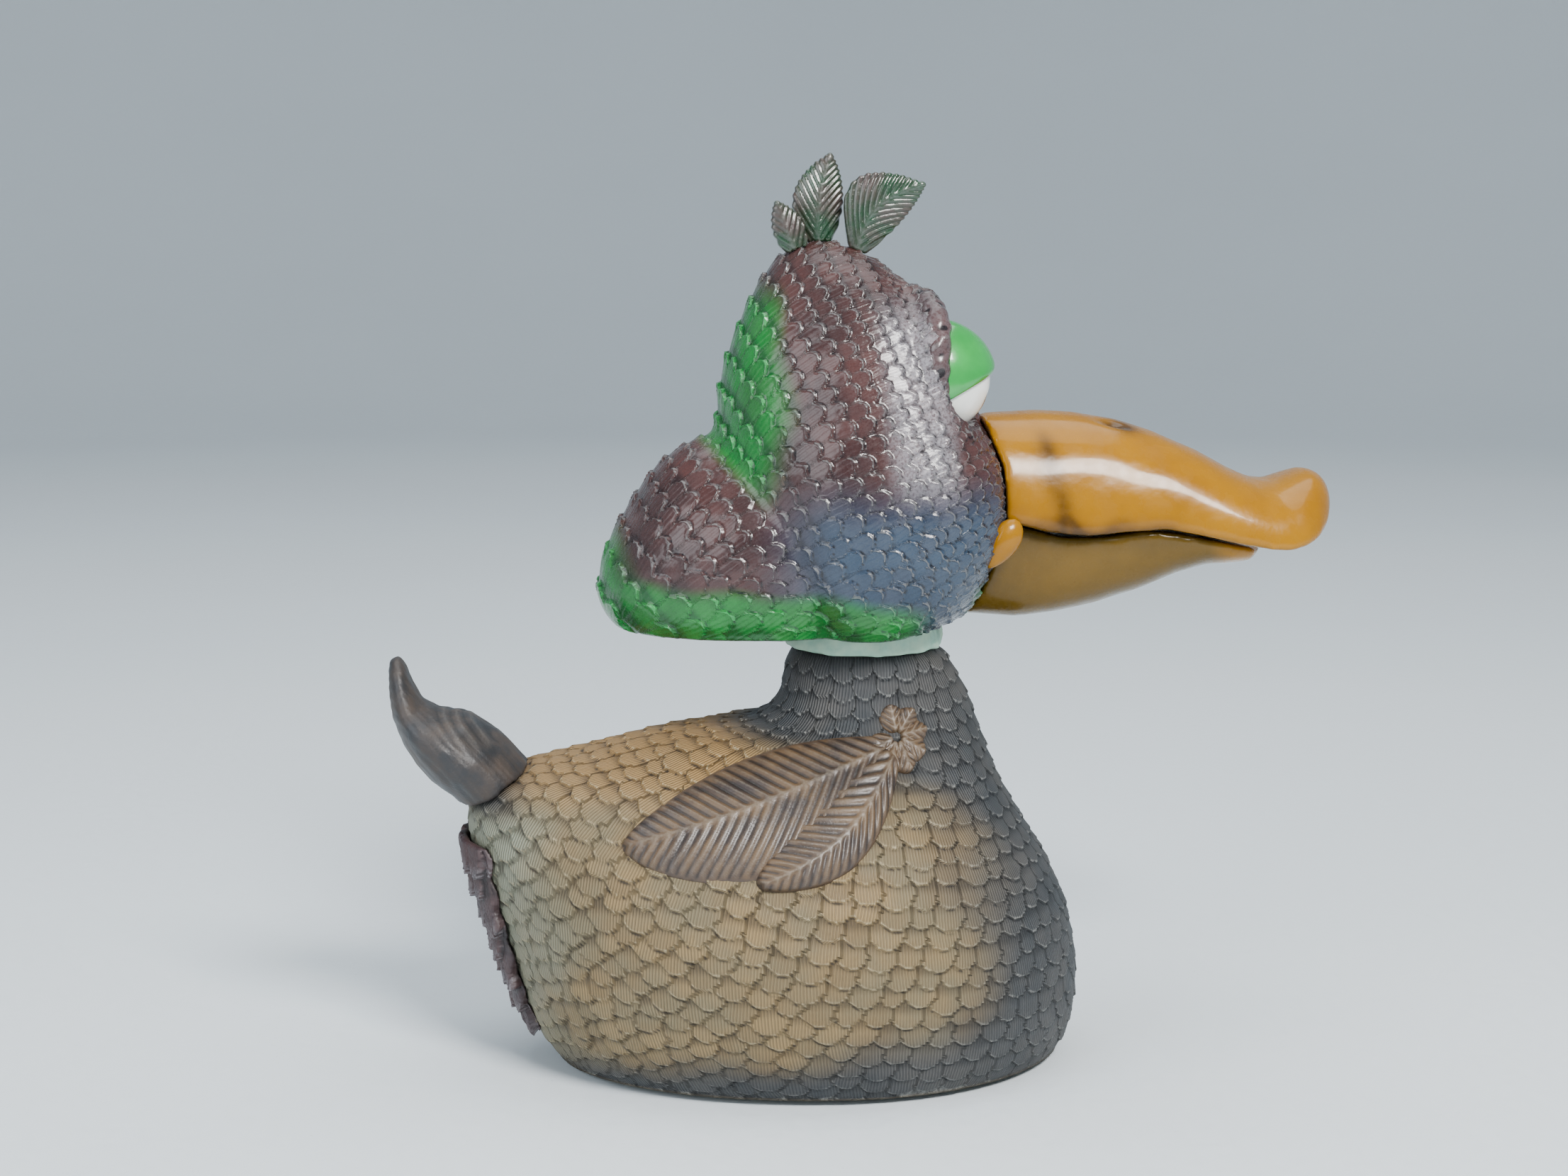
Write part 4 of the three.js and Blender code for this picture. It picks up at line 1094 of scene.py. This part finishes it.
def make_lid(side):
    """A smooth cap over the eyeball, cut off on a slope, with a rounded edge."""
    middle, radii, back = eye_shape(side)
    upward = np.array([-LID_SLOPE, 0.0, 1.0])
    outer, inner = radii + LID_GAP + LID_THICKNESS, radii + LID_GAP
    axis = unit(outer * upward)
    cut = math.acos(-LID_DROP / np.linalg.norm(outer * upward))
    # down the outside, around the lower edge and back up the inside
    down, up = np.linspace(0.01, cut, 90), np.linspace(cut, 0.01, 24)
    depth = 1 - np.sqrt(1 - np.clip(1 - (cut - down) / LID_EDGE, 0, 1) ** 2)
    angles, depth = np.concatenate([down, up]), np.concatenate([depth, np.ones(24)])
    grid = middle + dome(axis, angles, 110) * (outer + (inner - outer) * depth[:, None, None])
    grid[..., 0] = np.maximum(grid[..., 0], back - 0.8 * MM)
    points = with_ends(grid)
    points += unit(points - middle) * (0.08 * MM * noise_at(points, 9 * MM, 12))[:, None]
    piece = make_piece(f"lid_{side}", points, closed_faces(*grid.shape[:2]), LID_PAINT)
    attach(piece, "head")
    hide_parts(f"eyelid_{side}")


for side, sign in (("left", 1), ("right", -1)):
    make_eyeball(side, sign)
    make_lid(side)


# ------------------------------------------------------------------ the bill

def make_upper_bill():
    piece = soft_copy("smooth_upper_bill", "upper_bill", BILL_PAINT, voxel=0.5, passes=34)
    points = places_of(piece.data)
    x, y, z = (points / MM).T
    nostril = np.exp(-((x - 49) / 2.6) ** 2 - ((np.abs(y) - 5.0) / 1.5) ** 2) * (z > 122)
    lift = (-0.9 * nostril + 0.16 * noise_at(points, 17 * MM, 13)) * MM
    uneven = noise_at(points, 9 * MM, 14)
    stroke = np.exp(-((x - 35.5 + 0.22 * (z - 118) + 0.7 * uneven) / 2.4) ** 2)
    stroke = stroke * smoothstep(129, 124, z) * 0.85
    # painted shade along the lower edge, under the lip of the upper bill
    lower_edge = smoothstep(4.0, 0.5, z - 107.5 + 0.8 * uneven) * smoothstep(64, 52, x) * 0.85
    ridge_spot = np.exp(-((x - 51.5) / 3.4) ** 2) * smoothstep(125.0, 127.5, z) * 0.9
    # dark brown: a band at the root, marks on the nostrils and on the ridge, and painted shade along the
    # lower edge
    shade_and_wash = np.clip(stroke + lower_edge + ridge_spot + 0.8 * nostril, 0, 1)
    carve(piece, lift, {"shade_and_wash": shade_and_wash})
    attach(piece, "head")
    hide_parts("upper_bill")


def make_lower_bill():
    piece = soft_copy("smooth_lower_bill", "lower_bill", CHIN_PAINT, voxel=0.5, passes=24)
    points = places_of(piece.data)
    x, _, z = (points / MM).T
    # painted shadow along the top of the lower bill, under the lip of the upper bill
    shade_and_wash = smoothstep(102, 107, z + noise_at(points, 9 * MM, 15)) * 0.6 * smoothstep(72, 60, x)
    tip = smoothstep(66, 73, x + 0.8 * noise_at(points, 9 * MM, 17))
    carve(piece, 0.1 * MM * noise_at(points, 15 * MM, 16), {"shade_and_wash": shade_and_wash, "tip": tip})
    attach(piece, "head")
    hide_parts("lower_bill")


def make_gape(side, sign):
    """The smooth drop of bright yellow at a corner of the mouth."""
    low, high = map(np.array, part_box(f"gape_{side}"))
    middle = (low[1] + high[1]) / 2 + sign * 0.3 * MM
    root, tip = np.array([high[0] - 1.2 * MM, middle, high[2] - 0.6 * MM]), np.array([low[0], middle, low[2]])
    forward = unit(tip - root)
    flat = np.cross(LEFT, forward)
    share = np.linspace(0, 1, 60)
    radius = 2.9 * MM * np.sin(math.pi * np.clip(share, 0.004, 0.996) ** 0.75) ** 0.62
    around = np.linspace(0, 2 * math.pi, 48, endpoint=False)
    ring = flat * np.cos(around)[:, None] + LEFT * 0.72 * np.sin(around)[:, None]
    grid = root + (tip - root) * share[:, None, None] + ring[None] * radius[:, None, None]
    piece = make_piece(f"smooth_gape_{side}", with_ends(grid), closed_faces(60, 48), BILL_PAINT,
                       {"shade_and_wash": np.zeros(60 * 48 + 2)})
    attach(piece, "head")
    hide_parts(f"gape_{side}")


make_upper_bill()
make_lower_bill()
for side, sign in (("left", 1), ("right", -1)):
    make_gape(side, sign)


# ------------------------------------------------------------------ the neck ring and the spring

def make_neck_ring():
    """A rough-edged band, thicker in some places than in others."""
    columns = 300
    angle = np.linspace(0, 2 * math.pi, columns, endpoint=False)
    directions = np.stack([np.cos(angle), np.sin(angle), np.zeros(columns)], axis=1)
    thickness = 2.2 * MM
    section = []
    for k in range(28):
        turn = 2 * math.pi * k / 28
        out = np.sign(math.cos(turn)) * abs(math.cos(turn)) ** 0.55
        rise = np.sign(math.sin(turn)) * abs(math.sin(turn)) ** 0.55
        section.append((RING_RADIUS - thickness / 2 + out * (thickness / 2 - 0.1 * MM),
                        (RING_LOW + RING_HIGH) / 2 + rise * (RING_HIGH - RING_LOW) / 2))
    grid = flat_rings(section, directions, squeeze=0.97)
    points = grid.reshape(-1, 3)
    outer = smoothstep(RING_RADIUS - thickness * 0.7, RING_RADIUS - thickness * 0.2,
                       np.hypot(points[:, 0], points[:, 1]))
    ragged = noise_at(points, 5 * MM, 18) * 0.35 + noise_at(points, 2.2 * MM, 19) * 0.22
    points = points + directions[np.arange(len(points)) % columns] * (outer * ragged * MM)[:, None]
    points[:, 2] += outer * 0.35 * MM * noise_at(points, 4 * MM, 20)
    faces = grid_faces(28, columns).tolist()
    last = 27 * columns
    faces += [[last + j, last + (j + 1) % columns, (j + 1) % columns, j] for j in range(columns)]
    piece = make_piece("rough_neck_ring", points, faces, RING_PAINT)
    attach(piece, "figurine_body")
    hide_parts("neck_ring")


SPRING_RADIUS = 6.3 * MM
WIRE_RADIUS = 0.65 * MM
SPRING_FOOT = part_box("spring_lower")[0].z + WIRE_RADIUS
SPRING_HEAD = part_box("spring_upper")[1].z - WIRE_RADIUS
SPRING_TURNS = 7.5
# Each stretch of the coil, from which share of its height to which, and the two bodies at its ends.
COIL = [
    ("coil_foot", 0.0, 0.2, "figurine_body", "spring_foot", ["spring_lower"]),
    ("coil_low", 0.2, 0.5, "spring_foot", "spring_waist", ["spring_middle"]),
    ("coil_high", 0.5, 0.8, "spring_waist", "spring_neck", ["spring_upper"]),
    ("coil_head", 0.8, 1.0, "spring_neck", "head", ["spring_upper"]),
]


def make_coil(name, start, end, lower_body, upper_body, nodes):
    sides = 14
    steps = int(70 * SPRING_TURNS * (end - start))
    rings = []
    for share in np.linspace(start, end, steps + 1):
        turn = 2 * math.pi * SPRING_TURNS * share
        out = np.array([math.cos(turn), math.sin(turn), 0.0])
        middle = out * SPRING_RADIUS + UP * (SPRING_FOOT + (SPRING_HEAD - SPRING_FOOT) * share)
        around = 2 * math.pi * np.arange(sides) / sides
        rings.append(middle + WIRE_RADIUS * (np.cos(around)[:, None] * out + np.sin(around)[:, None] * UP))
    grid = np.array(rings)
    piece = make_piece(name, with_ends(grid), closed_faces(len(grid), sides), SPRING_STEEL)
    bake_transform(piece)
    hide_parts(*nodes)


make_neck_ring()
for stretch in COIL:
    make_coil(*stretch)

PLAIN_NODES = {
    "spring_plug": KEEPER, "spring_cap": KEEPER, "head_strap": STRAP_STEEL, "plug_screw": SCREW_STEEL,
    "cap_screw": SCREW_STEEL, "strap_screw_left": SCREW_STEEL, "strap_screw_right": SCREW_STEEL,
    "base_plate": BOARD, "felt_pad": FELT,
}
for node, material in PLAIN_NODES.items():
    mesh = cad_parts[node].data
    mesh.materials.clear()
    mesh.materials.append(material)


# ------------------------------------------------------------------ the studio

def make_studio():
    floor_paint = plain_paint("studio_floor", (0.68, 0.74, 0.78), (0.70, 0.76, 0.80), 0.8,
                              size=300.0, depth=0.0)
    mesh = bpy.data.meshes.new("studio_floor")
    # a flat disc that bends up into a wall all round, in metres
    flat, bend, height, sides = 1.3, 0.9, 1.4, 96
    profile = [(0.4, 0.0), (flat, 0.0)]
    profile += [(flat + bend * math.sin(a), bend - bend * math.cos(a))
                for a in np.linspace(0, math.pi / 2, 14)[1:]]
    profile.append((flat + bend, height))
    vertices = [(0, 0, 0)]
    for radius, z in profile:
        for k in range(sides):
            turn = 2 * math.pi * k / sides
            vertices.append((radius * math.cos(turn), radius * math.sin(turn), z))
    faces = [(0, 1 + k, 1 + (k + 1) % sides) for k in range(sides)]
    faces += (grid_faces(len(profile), sides)[:, ::-1] + 1).tolist()
    mesh.from_pydata(vertices, [], faces)
    mesh.shade_smooth()
    mesh.materials.append(floor_paint)
    floor = bpy.data.objects.new("studio_floor", mesh)
    bpy.context.scene.collection.objects.link(floor)

    def lamp(name, spot, target, size, power, tint):
        data = bpy.data.lights.new(name, "AREA")
        data.shape = "RECTANGLE"
        data.size, data.size_y = size
        data.energy = power
        data.color = tint
        light = bpy.data.objects.new(name, data)
        light.location = spot
        light.rotation_euler = (Vector(target) - Vector(spot)).to_track_quat("-Z", "Y").to_euler()
        bpy.context.scene.collection.objects.link(light)

    middle = (-0.01, 0.0, 0.09)
    lamp("key_light", (0.28, -0.75, 0.75), middle, (0.34, 0.28), 19.0, (1.0, 0.98, 0.95))
    lamp("fill_light", (-0.75, -0.55, 0.45), middle, (0.7, 0.6), 6.0, (0.92, 0.96, 1.0))
    lamp("top_light", (0.0, 0.15, 1.0), middle, (0.9, 0.9), 7.0, (0.95, 0.98, 1.0))
    world = bpy.data.worlds.new("studio_air")
    world.use_nodes = True
    background = world.node_tree.nodes["Background"]
    background.inputs["Color"].default_value = (0.75, 0.86, 0.95, 1.0)
    background.inputs["Strength"].default_value = 0.38
    bpy.context.scene.world = world


def make_camera():
    azimuth, elevation, distance = math.radians(-5.5), math.radians(9.0), 0.52
    frame_width = 0.3124  # metres across the picture at the target
    target = Vector((-16.0 * MM, 0.0, 95.3 * MM))
    back = Vector((math.sin(azimuth) * math.cos(elevation), -math.cos(azimuth) * math.cos(elevation),
                   math.sin(elevation)))
    data = bpy.data.cameras.new("photo_angle")
    data.sensor_width = 36.0
    data.lens = data.sensor_width * distance / frame_width
    data.clip_start = 0.01
    data.dof.use_dof = False
    camera = bpy.data.objects.new("photo_angle", data)
    camera.location = target + back * distance
    camera.rotation_euler = (-back).to_track_quat("-Z", "Y").to_euler()
    bpy.context.scene.collection.objects.link(camera)
    bpy.context.scene.camera = camera


make_studio()
make_camera()
